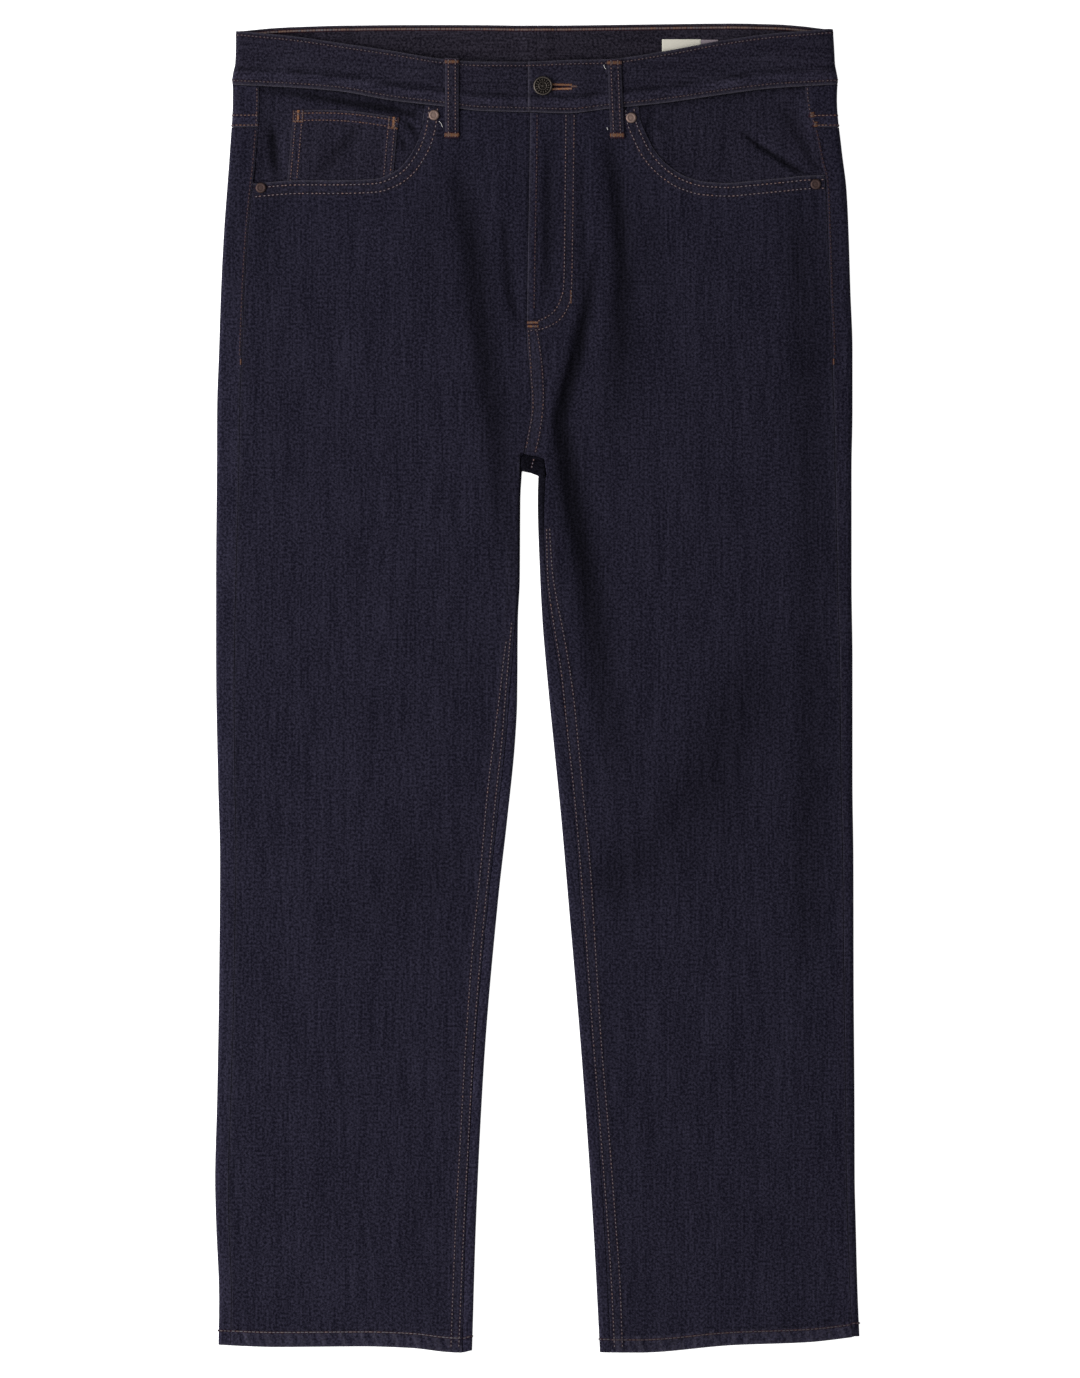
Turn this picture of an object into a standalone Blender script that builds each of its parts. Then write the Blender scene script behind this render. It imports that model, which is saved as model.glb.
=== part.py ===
"""Straight-leg jeans laid face up on a flat surface, buttoned, with the legs side by side.

X runs to the wearer's left, Y to the waist and Z up. The origin is on the surface, in the middle of the
footprint. Sizes are in millimetres, and MM turns them into metres. "right" and "left" are the wearer's.
"""

import math

import bmesh
import bpy
import numpy as np

MM = 0.001

# Cloth
CLOTH = 1.2  # one layer of denim
POCKETING = 1.0  # facings, coin pocket and back pockets
BAND = 2.2  # waistband, two layers
TURNED_HEM = 2.1  # hem, turned up
HEM_DEPTH = 12.0
LOOP = 1.2  # belt loop
SEAM = 0.3  # clear space between neighbouring pieces
FOLD = 4.5  # depth of the rolled edge where the front turns under

# Levels over the surface
BAND_TOP = 7.8  # upper face of the front of the waistband
OVERLAP_LIFT = 0.9  # rise of the waistband's over end
UNDERLAP_DIP = 1.6  # drop of its under end
UNDER_END = 38.0  # x where the under end stops
POCKET_LIFT = POCKETING + SEAM  # back panels pass over the back pockets
LOOP_LIFT = LOOP + SEAM  # waistband and yokes pass over the back loops
FACING_TOP = 3.9
FACING_RISE = 0.9  # where the facing meets the waistband and the side seam
COIN_RISE = 0.4  # front panel over the coin pocket's lower end

# Fly
FLY_LIFT = 0.4  # left front, over
FLY_DIP = 1.1  # right front, under
FLY_UNDERLAP = 12.6
FLY_END = (276.0, 298.0, 318.0)  # y where the layers begin to part, are apart, and lap in full

# Rows: y, right edge, left edge
OUTLINE = (
    (-560, -270.8, 273.7),
    (-520, -270.3, 272.2),
    (-452, -272.9, 270.5),
    (-418, -273.7, 269.7),
    (-350, -272.0, 269.5),
    (-248, -270.3, 268.8),
    (-146, -269.5, 268.6),
    (-78, -271.2, 267.8),
    (24, -272.9, 267.8),
    (92, -272.9, 267.0),
    (185, -272.2, 267.0),
    (236, -272.0, 267.8),
    (287, -270.3, 267.8),
    (338, -268.6, 266.0),
    (389, -266.0, 264.4),
    (423, -263.5, 262.7),
    (457, -261.0, 258.6),
    (500, -258.6, 254.6),
    (534, -256.2, 252.6),
    (565, -255.8, 250.8),
)
# Rows: y, inner edge of the right leg, of the left leg
INNER = (
    (-560, -55.3, 53.2),
    (-452, -51.9, 47.2),
    (-316, -45.0, 37.8),
    (-180, -33.2, 26.3),
    (-112, -25.5, 20.4),
    (-44, -18.7, 13.6),
    (-10, -17.0, 10.2),
    (58, -16.4, 4.3),
    (92, -14.8, 2.5),
    (160, -14.3, 0.4),
    (185, -12.9, 1.0),
)
# Rows: y, side seam's distance in from the right edge, from the left edge
SIDE_SEAM = (
    (-565, 10.6, 6.0),
    (-487, 11.0, 6.5),
    (0, 15.5, 10.5),
    (200, 19.2, 14.3),
    (275, 19.8, 17.0),
    (343, 20.2, 17.5),
    (395, 20.8, 17.6),
    (430, 21.8, 17.2),
    (447, 22.5, 19.0),
    (474, 22.8, 21.5),
    (491, 22.8, 25.5),
    (515, 22.7, 28.0),
)
# Rows: y, inseam's distance in from the right leg's inner edge, from the left leg's
INSEAM = (
    (-565, 8.5, 9.4),
    (-265, 8.5, 10.0),
    (-90, 8.5, 11.5),
    (-17, 7.2, 12.0),
    (30, 4.0, 9.6),
    (75, 1.4, 5.8),
    (113, 1.2, 4.8),
    (150, 1.2, 5.4),
    (178, 1.2, 6.2),
)
# Rows: y, edge of the left front, rise seam of the back
CENTRE = (
    (200, -11.2, -4.2),
    (210, -9.4, -4.6),
    (231, -5.6, -4.4),
    (245, -5.1, -4.2),
    (266, -6.4, -3.8),
    (304, -8.9, -3.2),
    (330, -8.5, -2.8),
    (400, -7.3, -1.6),
    (487, -6.0, -0.4),
    (532, -8.0, 0.0),
)
# Rows: x, y of the hem's lower edge
HEM_EDGE = (
    (-270.3, -557.9),
    (-221.9, -559.6),
    (-147.9, -559.1),
    (-108.0, -560.4),
    (-74.8, -564.0),
    (-64.6, -564.4),
    (-55.3, -562.7),
    (52.7, -564.2),
    (85.9, -564.4),
    (166.6, -558.0),
    (227.8, -555.7),
    (274.6, -550.5),
)
HEM_LINE = -560.0  # the hem's nominal row
HEM_LEVEL = -480.0  # rows run straight across from here up

# Rows: x, then the waistband's lower and upper edge in front, and its lower and upper edge behind
WAIST = (
    (-256, 511.9, 557.6, 514.0, 558.0),
    (-212, 510.0, 551.7, 515.5, 561.2),
    (-168, 506.6, 547.0, 517.0, 562.5),
    (-124, 499.0, 541.5, 518.5, 563.1),
    (-78, 493.5, 534.1, 519.0, 563.2),
    (-47, 489.9, 531.7, 519.0, 563.1),
    (-8, 488.9, 531.7, 518.5, 562.6),
    (26, 487.9, 533.0, 518.5, 562.8),
    (59, 491.6, 533.8, 519.0, 563.2),
    (110, 497.0, 540.9, 519.5, 563.9),
    (157, 503.8, 549.7, 519.5, 564.4),
    (200, 509.2, 555.6, 518.0, 563.8),
    (251, 512.2, 559.5, 514.0, 559.5),
)
# Rows: y, height of the front's upper face
HEIGHT = (
    (-565, 4.9),
    (-500, 5.1),
    (-200, 5.2),
    (150, 5.3),
    (200, 5.6),
    (300, 6.0),
    (420, 6.3),
    (565, 6.3),
)
# Soft troughs in the front: x, y of one end, x, y of the other, half width, depth
TROUGHS = (
    (70.5, 470.0, 72.3, 346.8, 10.0, 0.7),
    (72.3, 346.8, 66.3, 219.3, 10.0, 0.6),
    (49.3, 376.6, 40.8, 295.8, 9.0, 0.5),
    (40.8, 295.8, 22.0, 230.0, 9.0, 0.8),
    (24.0, 215.0, 30.0, 74.8, 9.0, 0.8),
    (30.0, 74.8, 63.8, -61.2, 10.0, 0.7),
    (-61.2, 448.8, -57.0, 372.3, 10.0, 0.4),
    (-57.0, 372.3, -31.5, 159.8, 11.0, 0.5),
    (223.6, 400.0, 228.0, 181.0, 11.0, 0.5),
    (228.0, 181.0, 223.6, -231.2, 11.0, 0.5),
    (172.6, -27.2, 62.0, -163.2, 24.0, 0.5),
)

# Row heights, from the hem up
HEM_ROWS = (HEM_LINE, HEM_LINE + HEM_DEPTH, HEM_LINE + HEM_DEPTH + 3, -515.0)
LEG_ROWS = tuple(range(-480, 121, 40)) + (150.0, 178.0)
HIP_ROWS = (215.0, 235.0, 255.0, 272.0, 278.5, 298.0, 318.0, 350.0, 385.0, 415.0)
CROTCH_ROWS = (183.5, 192.0, 200.0)
POCKET_ROWS = (427.0, 439.5, 446.0)  # of the backs, over the pocket's upper edge
# How far each row above HIP_ROWS is from the last of them to the panel's upper edge
UPPER_STEPS = (0.35, 0.7, 1.0)

# The front panels' inner boundary over the gap between the legs: x, y for each of CROTCH_ROWS
CROTCH_EDGE = {
    "right": ((-14.9, 184.0), (-14.6, 201.6), (-11.4, 201.6)),
    "left": ((8.0, 181.0), (6.4, 195.0), (-10.9, 201.2)),
}
# The gap's upper corner at each leg and its middle, and the seam's end over the corner and at the middle
GAP_CORNER = {"right": (-12.9, 184.2), "left": (1.0, 180.0)}
GAP_MIDDLE = {"right": (-5.15, 182.4), "left": (-4.85, 182.2)}
CORNER_TOWARD = {"right": (0.15, -0.99), "left": (-0.71, -0.71)}
BACK_CORNER = {"right": (-14.0, 201.0), "left": (6.0, 194.5)}
BACK_CROTCH = {"right": (-4.35, 198.4), "left": (-4.05, 198.2)}
CROTCH_HEIGHT = 4.8

# Columns of the fronts: share of the way from the inner edge to the side seam
FRONT_COLUMNS = {
    "right": (0, 0.012, 0.03, 0.07, 0.14, 0.19, 0.24, 0.34, 0.42)
    + (0.445, 0.47, 0.50, 0.53, 0.57, 0.62, 0.70, 0.80, 0.90, 1),
    "left": (0, 0.012, 0.03, 0.07, 0.12, 0.17, 0.22, 0.27, 0.32, 0.375)
    + (0.40, 0.43, 0.46, 0.50, 0.55, 0.61, 0.68, 0.76, 0.84, 0.92, 1),
}
# Pocket mouths, from the waistband to the side seam: x, y for each of the last FRONT_COLUMNS
MOUTH = {
    "right": (
        (-95.6, 492.6),
        (-96.6, 481.5),
        (-100.3, 466.8),
        (-106.7, 453.9),
        (-115.0, 442.9),
        (-124.2, 436.6),
        (-139.0, 432.0),
        (-171.0, 431.0),
        (-202.0, 432.0),
        (-226.0, 430.4),
        (-241.5, 428.1),
    ),
    "left": (
        (85.9, 489.6),
        (87.4, 482.5),
        (91.8, 471.6),
        (98.6, 458.0),
        (110.5, 444.3),
        (125.8, 434.5),
        (142.0, 429.9),
        (161.5, 428.8),
        (181.0, 430.4),
        (208.0, 433.0),
        (228.0, 435.0),
        (244.5, 435.6),
    ),
}

# Yoke seam: y at the side, at the centre back
YOKE_SEAM = (476.0, 448.5)
BACK_COLUMNS = 7
# Back pockets: middle, upper edge, width there and at the foot, height at the side and at the point
BACK_POCKET = {
    "x": 136.0,
    "top": 438.0,
    "wide": 154.0,
    "narrow": 136.0,
    "side": 128.0,
    "point": 160.0,
}
WINDOW = 1.5  # what passes over a piece is level this far past it
WINDOW_RAMP = 6.5

# Belt loops. The front ones: x at the top, x at the foot, y at the top, y at the foot
LOOP_WIDTH = 11.8
FRONT_LOOPS = {
    "right": (-72.4, -72.4, 534.4, 466.8),
    "left": (65.4, 68.0, 533.6, 466.6),
}
BACK_LOOP_X = 172.0
BACK_LOOP_LENGTH = 66.0
LOOP_WINDOW = (8.5, 16.0)  # half widths of the level and the ramp over a back loop
LOOP_WINDOW_Y = (489.0, 495.0)

# Coin pocket: corners at its upper edge and its foot, under the front panel
COIN_TOP = ((-207.1, 490.5), (-117.7, 484.3))
COIN_FOOT = ((-210.5, 421.0), (-123.5, 421.0))
COIN_WINDOW = (-214.0, -119.0, 405.0, 445.0)  # x, x, y, y where the front panel rises over it
FACING_FOOT = 413.0
FACING_INNER = {"right": -82.0, "left": 74.0}

# Metal
BUTTON_AT = (4.8, 510.9)
BUTTON_RADIUS = 8.2
SHANK_RADIUS = 2.2
EYELET_RADIUS = 2.9
BUTTONHOLE_END = 34.0
BUTTONHOLE_WIDTH = 1.3
CUTTER = 20.0  # height of what cuts the buttonhole
RIVET_RADIUS = 4.5
RIVETS = {
    "rivet_right_upper": (-87.7, 486.3),
    "rivet_right_lower": (-234.6, 424.6),
    "rivet_left_upper": (79.8, 484.0),
    "rivet_left_lower": (236.4, 427.6),
}

# Label inside the back of the waistband: x, x, y, y
LABEL = (106.2, 138.4, 528.0, 550.8)
SIZE_TAB = (138.8, 153.4, 530.0, 549.0)
LABEL_THICKNESS = 0.4

SIDES = ("right", "left")
COLUMN = {"right": 1, "left": 2}
INWARD = {"right": 1, "left": -1}


def curve(table, column, at):
    """A smooth value with no overshoot between a table's rows, which run up in their first column."""
    rows = np.array(table, float)
    xs, ys = rows[:, 0], rows[:, column]
    slope = np.diff(ys) / np.diff(xs)
    tangent = np.zeros(len(xs))
    tangent[0], tangent[-1] = slope[0], slope[-1]
    for i in range(1, len(xs) - 1):
        if slope[i - 1] * slope[i] > 0:
            tangent[i] = 2 * slope[i - 1] * slope[i] / (slope[i - 1] + slope[i])
    at = min(max(at, xs[0]), xs[-1])
    i = min(max(int(np.searchsorted(xs, at)) - 1, 0), len(xs) - 2)
    width = xs[i + 1] - xs[i]
    t = (at - xs[i]) / width
    return float(
        ys[i] * (1 + 2 * t) * (1 - t) ** 2
        + ys[i + 1] * t * t * (3 - 2 * t)
        + width * tangent[i] * t * (1 - t) ** 2
        - width * tangent[i + 1] * t * t * (1 - t)
    )


def ease(t):
    t = min(max(t, 0.0), 1.0)
    return t * t * (3 - 2 * t)


def window(value, low, high, ramp):
    """1 between low and high, falling to 0 over ramp on either side."""
    return min(ease((value - low + ramp) / ramp), ease((high - value + ramp) / ramp))


def mix(a, b, t):
    return a + (b - a) * t


# ---- the garment's faces ----


def outer_edge(side, y):
    return curve(OUTLINE, COLUMN[side], y)


def inner_edge(side, y):
    return curve(INNER, COLUMN[side], y)


def side_seam(side, y):
    return outer_edge(side, y) + INWARD[side] * curve(SIDE_SEAM, COLUMN[side], y)


def inseam_inset(side, y):
    return curve(INSEAM, COLUMN[side], y)


def waist(x, edge):
    return curve(WAIST, edge, x)


FRONT_LOW, FRONT_HIGH, BACK_LOW, BACK_HIGH = 1, 2, 3, 4


def at_hem(x, y):
    """The row's own y at x: the rows near the hem follow its edge."""
    share = min(max((HEM_LEVEL - y) / (HEM_LEVEL - HEM_LINE), 0.0), 1.0)
    edge = np.interp(x, [row[0] for row in HEM_EDGE], [row[1] for row in HEM_EDGE])
    return y + (edge - HEM_LINE) * share


def wall_at(y):
    """The cloth's thickness in this row, more in the turned hem."""
    share = min(max((HEM_LINE + HEM_DEPTH + 3 - y) / 3, 0.0), 1.0)
    return mix(CLOTH, TURNED_HEM, share)


def trough(x, y):
    deepest = 0.0
    for x0, y0, x1, y1, half, depth in TROUGHS:
        along = ((x - x0) * (x1 - x0) + (y - y0) * (y1 - y0)) / ((x1 - x0) ** 2 + (y1 - y0) ** 2)
        along = min(max(along, 0.0), 1.0)
        distance = math.hypot(x - mix(x0, x1, along), y - mix(y0, y1, along))
        deepest = max(deepest, depth * math.exp(-((distance / half) ** 2)))
    return deepest


def fly_step(side, x, y):
    """The left front rides up over the right one, which dips."""
    apart = ease((y - FLY_END[0]) / (FLY_END[1] - FLY_END[0]))
    edge = curve(CENTRE, 1, y)
    if side == "right":
        return -FLY_DIP * apart * ease((x - edge + 22) / 18)
    return FLY_LIFT * apart * (1 - ease((x - edge - 14) / 16))


def front_height(side, x, y):
    rise = COIN_RISE * window(x, *COIN_WINDOW[:2], 24) * window(y, *COIN_WINDOW[2:], 30)
    return curve(HEIGHT, 1, y) - trough(x, y) + fly_step(side, x, y) + rise


def gap_from(side, x, y):
    """How far the open gap between the legs is, and the direction to it."""
    corner = GAP_CORNER[side]
    if y <= corner[1]:
        return (inner_edge(side, y) - x) * INWARD[side], (INWARD[side], 0.0)
    middle = GAP_MIDDLE[side]
    along = min(max((x - corner[0]) / (middle[0] - corner[0]), 0.0), 1.0)
    dx = mix(corner[0], middle[0], along) - x
    dy = mix(corner[1], middle[1], along) - y
    distance = math.hypot(dx, dy)
    return distance, (dx / distance, dy / distance)


def front_point(side, x, y, depth):
    """A point of the front at this depth in its wall, rolled down where the leg's inner edge is near."""
    distance, toward = gap_from(side, x, y)
    height = front_height(side, x, y)
    angle = math.acos(min(max((FOLD - distance) / FOLD, 0.0), 1.0))
    across = depth * math.cos(angle)
    return (
        x - toward[0] * across,
        at_hem(x, y) - toward[1] * across,
        height / 2 + (height / 2 - depth) * math.sin(angle),
    )


def under_height(x, y):
    """The underside, lifted over the back pockets."""
    half = BACK_POCKET["wide"] / 2 + WINDOW
    top = BACK_POCKET["top"] + WINDOW
    foot = BACK_POCKET["top"] - BACK_POCKET["point"] - WINDOW
    across = window(abs(x), BACK_POCKET["x"] - half, BACK_POCKET["x"] + half, WINDOW_RAMP)
    return POCKET_LIFT * across * window(y, foot, top, WINDOW_RAMP)


def over_back_loops(x, y):
    level, ramp = LOOP_WINDOW
    away = min(abs(x - at) for at in (-BACK_LOOP_X, 0.0, BACK_LOOP_X))
    across = 1 - ease((away - level) / (ramp - level))
    return LOOP_LIFT * across * ease((y - LOOP_WINDOW_Y[0]) / (LOOP_WINDOW_Y[1] - LOOP_WINDOW_Y[0]))


def fold_point(edge, toward, angle, depth, height, reach=FOLD):
    """A point of a rolled edge: edge is its outermost point seen from above, toward points outwards."""
    back = reach - (reach - depth) * math.cos(angle)
    return (
        edge[0] - toward[0] * back,
        edge[1] - toward[1] * back,
        height / 2 + (height / 2 - depth) * math.sin(angle),
    )


# ---- making solids ----


def make_material(name, colour, roughness, metallic=0.0):
    material = bpy.data.materials.new(name)
    material.use_nodes = True
    shader = material.node_tree.nodes["Principled BSDF"]
    shader.inputs["Base Color"].default_value = (*colour, 1)
    shader.inputs["Roughness"].default_value = roughness
    shader.inputs["Metallic"].default_value = metallic
    return material


def add_object(name, mesh, material, collection):
    obj = bpy.data.objects.new(name, mesh)
    obj.data.materials.append(material)
    collection.objects.link(obj)
    return obj


def wall(name, rows, material, collection, whole=None):
    """A closed wall from a grid: rows(0) gives the points of its outer face, and rows(1) of its inner.

    whole[i] is how many columns rows i and i + 1 share, all of them if it isn't given.
    """
    faces = [rows(0), rows(1)]
    count = whole or [len(row) for row in faces[0][1:]]
    bm = bmesh.new()
    points = [[[bm.verts.new(np.array(p) * MM) for p in row] for row in face] for face in faces]
    used = {}
    for i, columns in enumerate(count):
        for j in range(columns - 1):
            ring = [(i, j), (i, j + 1), (i + 1, j + 1), (i + 1, j)]
            bm.faces.new([points[0][a][b] for a, b in ring])
            bm.faces.new([points[1][a][b] for a, b in reversed(ring)])
            for start, end in zip(ring, ring[1:] + ring[:1]):
                key = (min(start, end), max(start, end))
                used[key] = used.get(key, 0) + 1
    for ((i, j), (k, m)), times in used.items():
        if times == 1:
            bm.faces.new([points[0][i][j], points[0][k][m], points[1][k][m], points[1][i][j]])
    bmesh.ops.recalc_face_normals(bm, faces=bm.faces)
    bmesh.ops.triangulate(bm, faces=bm.faces)
    mesh = bpy.data.meshes.new(name)
    bm.to_mesh(mesh)
    bm.free()
    mesh.shade_smooth()
    mesh.set_sharp_from_angle(angle=math.radians(40))
    return add_object(name, mesh, material, collection)


# ---- panels ----


def front_edge(side, y):
    """x and y of the front's inner boundary in this row."""
    if y in CROTCH_ROWS:
        return CROTCH_EDGE[side][CROTCH_ROWS.index(y)]
    if y < CROTCH_ROWS[0]:
        return inner_edge(side, y) - INWARD[side] * (inseam_inset(side, y) + SEAM / 2), y
    edge = curve(CENTRE, 1, y)
    if side == "left":
        return edge + SEAM / 2, y
    lap = FLY_UNDERLAP * ease((y - FLY_END[1]) / (FLY_END[2] - FLY_END[1]))
    return edge - SEAM / 2 + lap, y


def front_row(side, y):
    start = front_edge(side, y)
    end = side_seam(side, y) + INWARD[side] * SEAM / 2
    return [
        (mix(start[0], end, share), mix(y, start[1], (1 - share) ** 12))
        for share in FRONT_COLUMNS[side]
    ]


def front_top(side):
    """The front's upper edge: along the waistband to the pocket's mouth, then along the mouth."""
    shares = FRONT_COLUMNS[side]
    mouth = MOUTH[side]
    corner = len(shares) - len(mouth)
    start = front_edge(side, waist(0.0, FRONT_LOW))[0]
    top = []
    for share in shares[:corner]:
        x = mix(start, mouth[0][0], share / shares[corner])
        top.append((x, waist(x, FRONT_LOW) - SEAM))
    end = mouth[-1][1]
    return top + list(mouth[:-1]) + [(side_seam(side, end) + INWARD[side] * SEAM, end)]


def front_plan(side):
    """The front's grid seen from above."""
    rows = [front_row(side, y) for y in HEM_ROWS + LEG_ROWS + CROTCH_ROWS + HIP_ROWS]
    low, top = rows[-1], front_top(side)
    for step in UPPER_STEPS:
        rows.append([(mix(a[0], b[0], step), mix(a[1], b[1], step)) for a, b in zip(low, top)])
    return rows


def add_front(side, material, collection):
    plan = front_plan(side)
    return wall(
        f"front_{side}",
        lambda inner: [[front_point(side, x, y, inner * wall_at(y)) for x, y in row] for row in plan],
        material,
        collection,
    )


def side_wrap(side, depth, y_seam, y_over=None, y_under=None):
    """The strip from the side seam out to the edge, and the edge's roll.

    y_seam, y_over and y_under are the row's y at the seam and at the roll's upper and lower ends.
    """
    y_over = y_seam if y_over is None else y_over
    y_under = y_seam if y_under is None else y_under
    inward = INWARD[side]
    seam = side_seam(side, y_seam) - inward * SEAM / 2
    points = [(seam, at_hem(seam, y_seam), curve(HEIGHT, 1, y_seam) - depth)]
    for angle in (90, 45, 0, -45, -90):
        y = mix(y_under, y_over, (1 + math.sin(math.radians(angle))) / 2)
        edge = outer_edge(side, y)
        height = curve(HEIGHT, 1, y_over)
        points.append(fold_point((edge, at_hem(edge, y)), (-inward, 0), math.radians(angle), depth, height))
    return points


def under_columns(side, y, start, end, count):
    """x of the columns between two ends of the underside, drawn to the back pocket's edges in the hip."""
    even = [mix(start, end, (j + 1) / count) for j in range(count)]
    pocket = BACK_POCKET["x"]
    half = BACK_POCKET["wide"] / 2 + WINDOW
    near = [pocket + half + WINDOW_RAMP, pocket + half, pocket + half / 3, pocket - half / 3]
    near += [pocket - half, pocket - half - WINDOW_RAMP]
    placed = [-INWARD[side] * x for x in near] + [end]
    share = ease((y - 200) / 72)
    return [mix(a, b, share) for a, b in zip(even, placed)]


def leg_turn(side, y, depth):
    """The inner edge's roll and the strip from it up to the inseam."""
    inward = INWARD[side]
    inset = inseam_inset(side, y) - SEAM / 2
    height = front_height(side, inner_edge(side, y) - inward * FOLD, y)
    edge = (inner_edge(side, y), y)
    steps = (0, 0.2, 0.4, 0.6, 0.8, 1)
    if inset <= FOLD:
        last = math.acos((FOLD - inset) / FOLD)
        angles = [mix(-math.pi / 2, last, t) for t in steps]
        points = [fold_point(edge, (inward, 0), a, depth, height) for a in angles]
    else:
        share = min(max(1 - (inset - FOLD) / FOLD * 0.2, 0.8), 1)
        points = []
        for t in steps:
            angle = -math.pi / 2 + math.pi * min(t / share, 1)
            x, at_y, z = fold_point(edge, (inward, 0), angle, depth, height)
            along = max(t - share, 0) / (1 - share) * (inset - FOLD)
            points.append((x - inward * along, at_y, z))
    return [(x, at_hem(x, at_y), z) for x, at_y, z in points]


def crotch_turn(edge, toward, seam, depth):
    """The roll at the head of the gap, and the strip from it up to the seam."""
    angles = [math.radians(a) for a in (-90, -45, 0, 45, 90)]
    points = [fold_point(edge, toward, angle, depth, CROTCH_HEIGHT) for angle in angles]
    return points + [(seam[0], seam[1], CROTCH_HEIGHT - depth)]


def back_rows(side, inner):
    inward = INWARD[side]
    rows = []
    for y in HEM_ROWS + LEG_ROWS:
        depth = inner * wall_at(y)
        wrap = side_wrap(side, depth, y)
        turn = leg_turn(side, y, depth)
        start, end = wrap[-1][0], turn[0][0]
        across = [mix(start, end, (j + 1) / (BACK_COLUMNS + 1)) for j in range(BACK_COLUMNS)]
        rows.append(wrap + [(x, at_hem(x, y), depth) for x in across] + turn)
    depth = inner * CLOTH
    for y, edge, toward, seam, lift in (
        (CROTCH_ROWS[0] + 0.5, GAP_CORNER[side], CORNER_TOWARD[side], BACK_CORNER[side], 7.0),
        (191.0, GAP_MIDDLE[side], (0, -1), BACK_CROTCH[side], 2.0),
    ):
        wrap = side_wrap(side, depth, y)
        turn = crotch_turn(edge, toward, seam, depth)
        last = y > CROTCH_ROWS[1] - 2
        count = BACK_COLUMNS + (0 if last else 1)
        across = [
            (mix(wrap[-1][0], turn[0][0], (j + 1) / count), y + lift * ((j + 1) / count) ** 2, depth)
            for j in range(BACK_COLUMNS)
        ]
        rows.append(wrap + across + turn)
    for y in (CROTCH_ROWS[2],) + HIP_ROWS + POCKET_ROWS + ("yoke",):
        at_side = YOKE_SEAM[0] - SEAM / 2 if y == "yoke" else y
        wrap = side_wrap(side, depth, at_side)
        if y == "yoke":
            end = curve(CENTRE, 2, YOKE_SEAM[1]) - inward * SEAM / 2
        else:
            end = curve(CENTRE, 2, y) - inward * SEAM / 2
        row = wrap
        for x in under_columns(side, at_side, wrap[-1][0], end, BACK_COLUMNS):
            at = yoke_seam(side, x) - SEAM / 2 if y == "yoke" else y
            row.append((x, at, under_height(x, at) + depth))
        rows.append(row)
    return rows


def add_back(side, material, collection):
    legs = len(HEM_ROWS + LEG_ROWS) + 2
    wide = BACK_COLUMNS + 12
    hips = len(HIP_ROWS + POCKET_ROWS) + 2
    return wall(
        f"back_{side}",
        lambda inner: back_rows(side, inner),
        material,
        collection,
        [wide] * (legs - 1) + [wide - 6] * hips,
    )


def yoke_seam(side, x):
    edge = outer_edge(side, YOKE_SEAM[0])
    return mix(YOKE_SEAM[1], YOKE_SEAM[0], min(max(x / edge, 0.0), 1.0))


def loop_columns(side):
    """x of the columns behind, drawn to the loops, from the side to the centre back."""
    level, ramp = LOOP_WINDOW
    near = [BACK_LOOP_X + ramp, BACK_LOOP_X + level, BACK_LOOP_X - level, BACK_LOOP_X - ramp]
    near += [120, 80, 45, ramp, level]
    return [-INWARD[side] * x for x in near] + [-INWARD[side] * SEAM / 2]


def yoke_levels(low, high):
    """y of the yoke's rows where its edges are low and high."""
    start, level = LOOP_WINDOW_Y
    return low, mix(low, start, 0.5), start, level, high


def yoke_rows(side, inner):
    depth = inner * CLOTH
    rows = []
    for i in range(5):
        low = YOKE_SEAM[0] + SEAM / 2
        edge = outer_edge(side, low)
        at_seam = waist(side_seam(side, WAIST[0][FRONT_LOW]), FRONT_LOW) - SEAM
        ends = (at_seam, waist(edge, FRONT_LOW), waist(edge, BACK_LOW))
        row = side_wrap(side, depth, *[yoke_levels(low, end - SEAM)[i] for end in ends])
        for x in loop_columns(side):
            y = yoke_levels(yoke_seam(side, x) + SEAM / 2, waist(x, BACK_LOW) - SEAM)[i]
            row.append((x, y, over_back_loops(x, y) + depth))
        rows.append(row)
    return rows


def add_yoke(side, material, collection):
    return wall(f"yoke_{side}", lambda inner: yoke_rows(side, inner), material, collection)


# ---- waistband ----


def band_height(side, x):
    """The upper face of the front of the waistband, whose left end lies over the right one."""
    if side == "right":
        return BAND_TOP - UNDERLAP_DIP * ease((x + 27) / 15)
    return BAND_TOP + OVERLAP_LIFT * (1 - ease((x - UNDER_END) / 14))


def band_columns(side):
    """x of the columns in front, from the end at the fly to the side."""
    if side == "right":
        near = (UNDER_END, 20.0, 0.0, -12.0, -19.5, -27.0)
        return near + (-60.0, -95.0, -130.0, -165.0, -200.0, -230.0)
    near = (curve(CENTRE, 1, 532) + SEAM / 2, 10.0, 30.0, UNDER_END, 45.0, 52.0)
    return near + (75.0, 105.0, 135.0, 165.0, 200.0, 228.0)


def band_rows(side, inner):
    depth = inner * BAND
    rows = []
    for share in (0, 0.1, 0.5, 0.9, 1):
        row = []
        for x in band_columns(side):
            y = mix(waist(x, FRONT_LOW), waist(x, FRONT_HIGH), share)
            row.append((x, y, band_height(side, x) - depth))
        low = WAIST[0] if side == "right" else WAIST[-1]
        for angle in (90, 60, 30, 0, -30, -60, -90):
            blend = (1 + math.sin(math.radians(angle))) / 2
            y = mix(mix(low[3], low[4], share), mix(low[1], low[2], share), blend)
            edge = (outer_edge(side, y), y)
            row.append(
                fold_point(edge, (-INWARD[side], 0), math.radians(angle), depth, BAND_TOP, FOLD + 0.5)
            )
        for x in loop_columns(side):
            y = mix(waist(x, BACK_LOW), waist(x, BACK_HIGH), share)
            row.append((x, y, over_back_loops(x, y) + depth))
        rows.append(row)
    return rows


def add_band(side, material, collection):
    return wall(f"waistband_{side}", lambda inner: band_rows(side, inner), material, collection)


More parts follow.
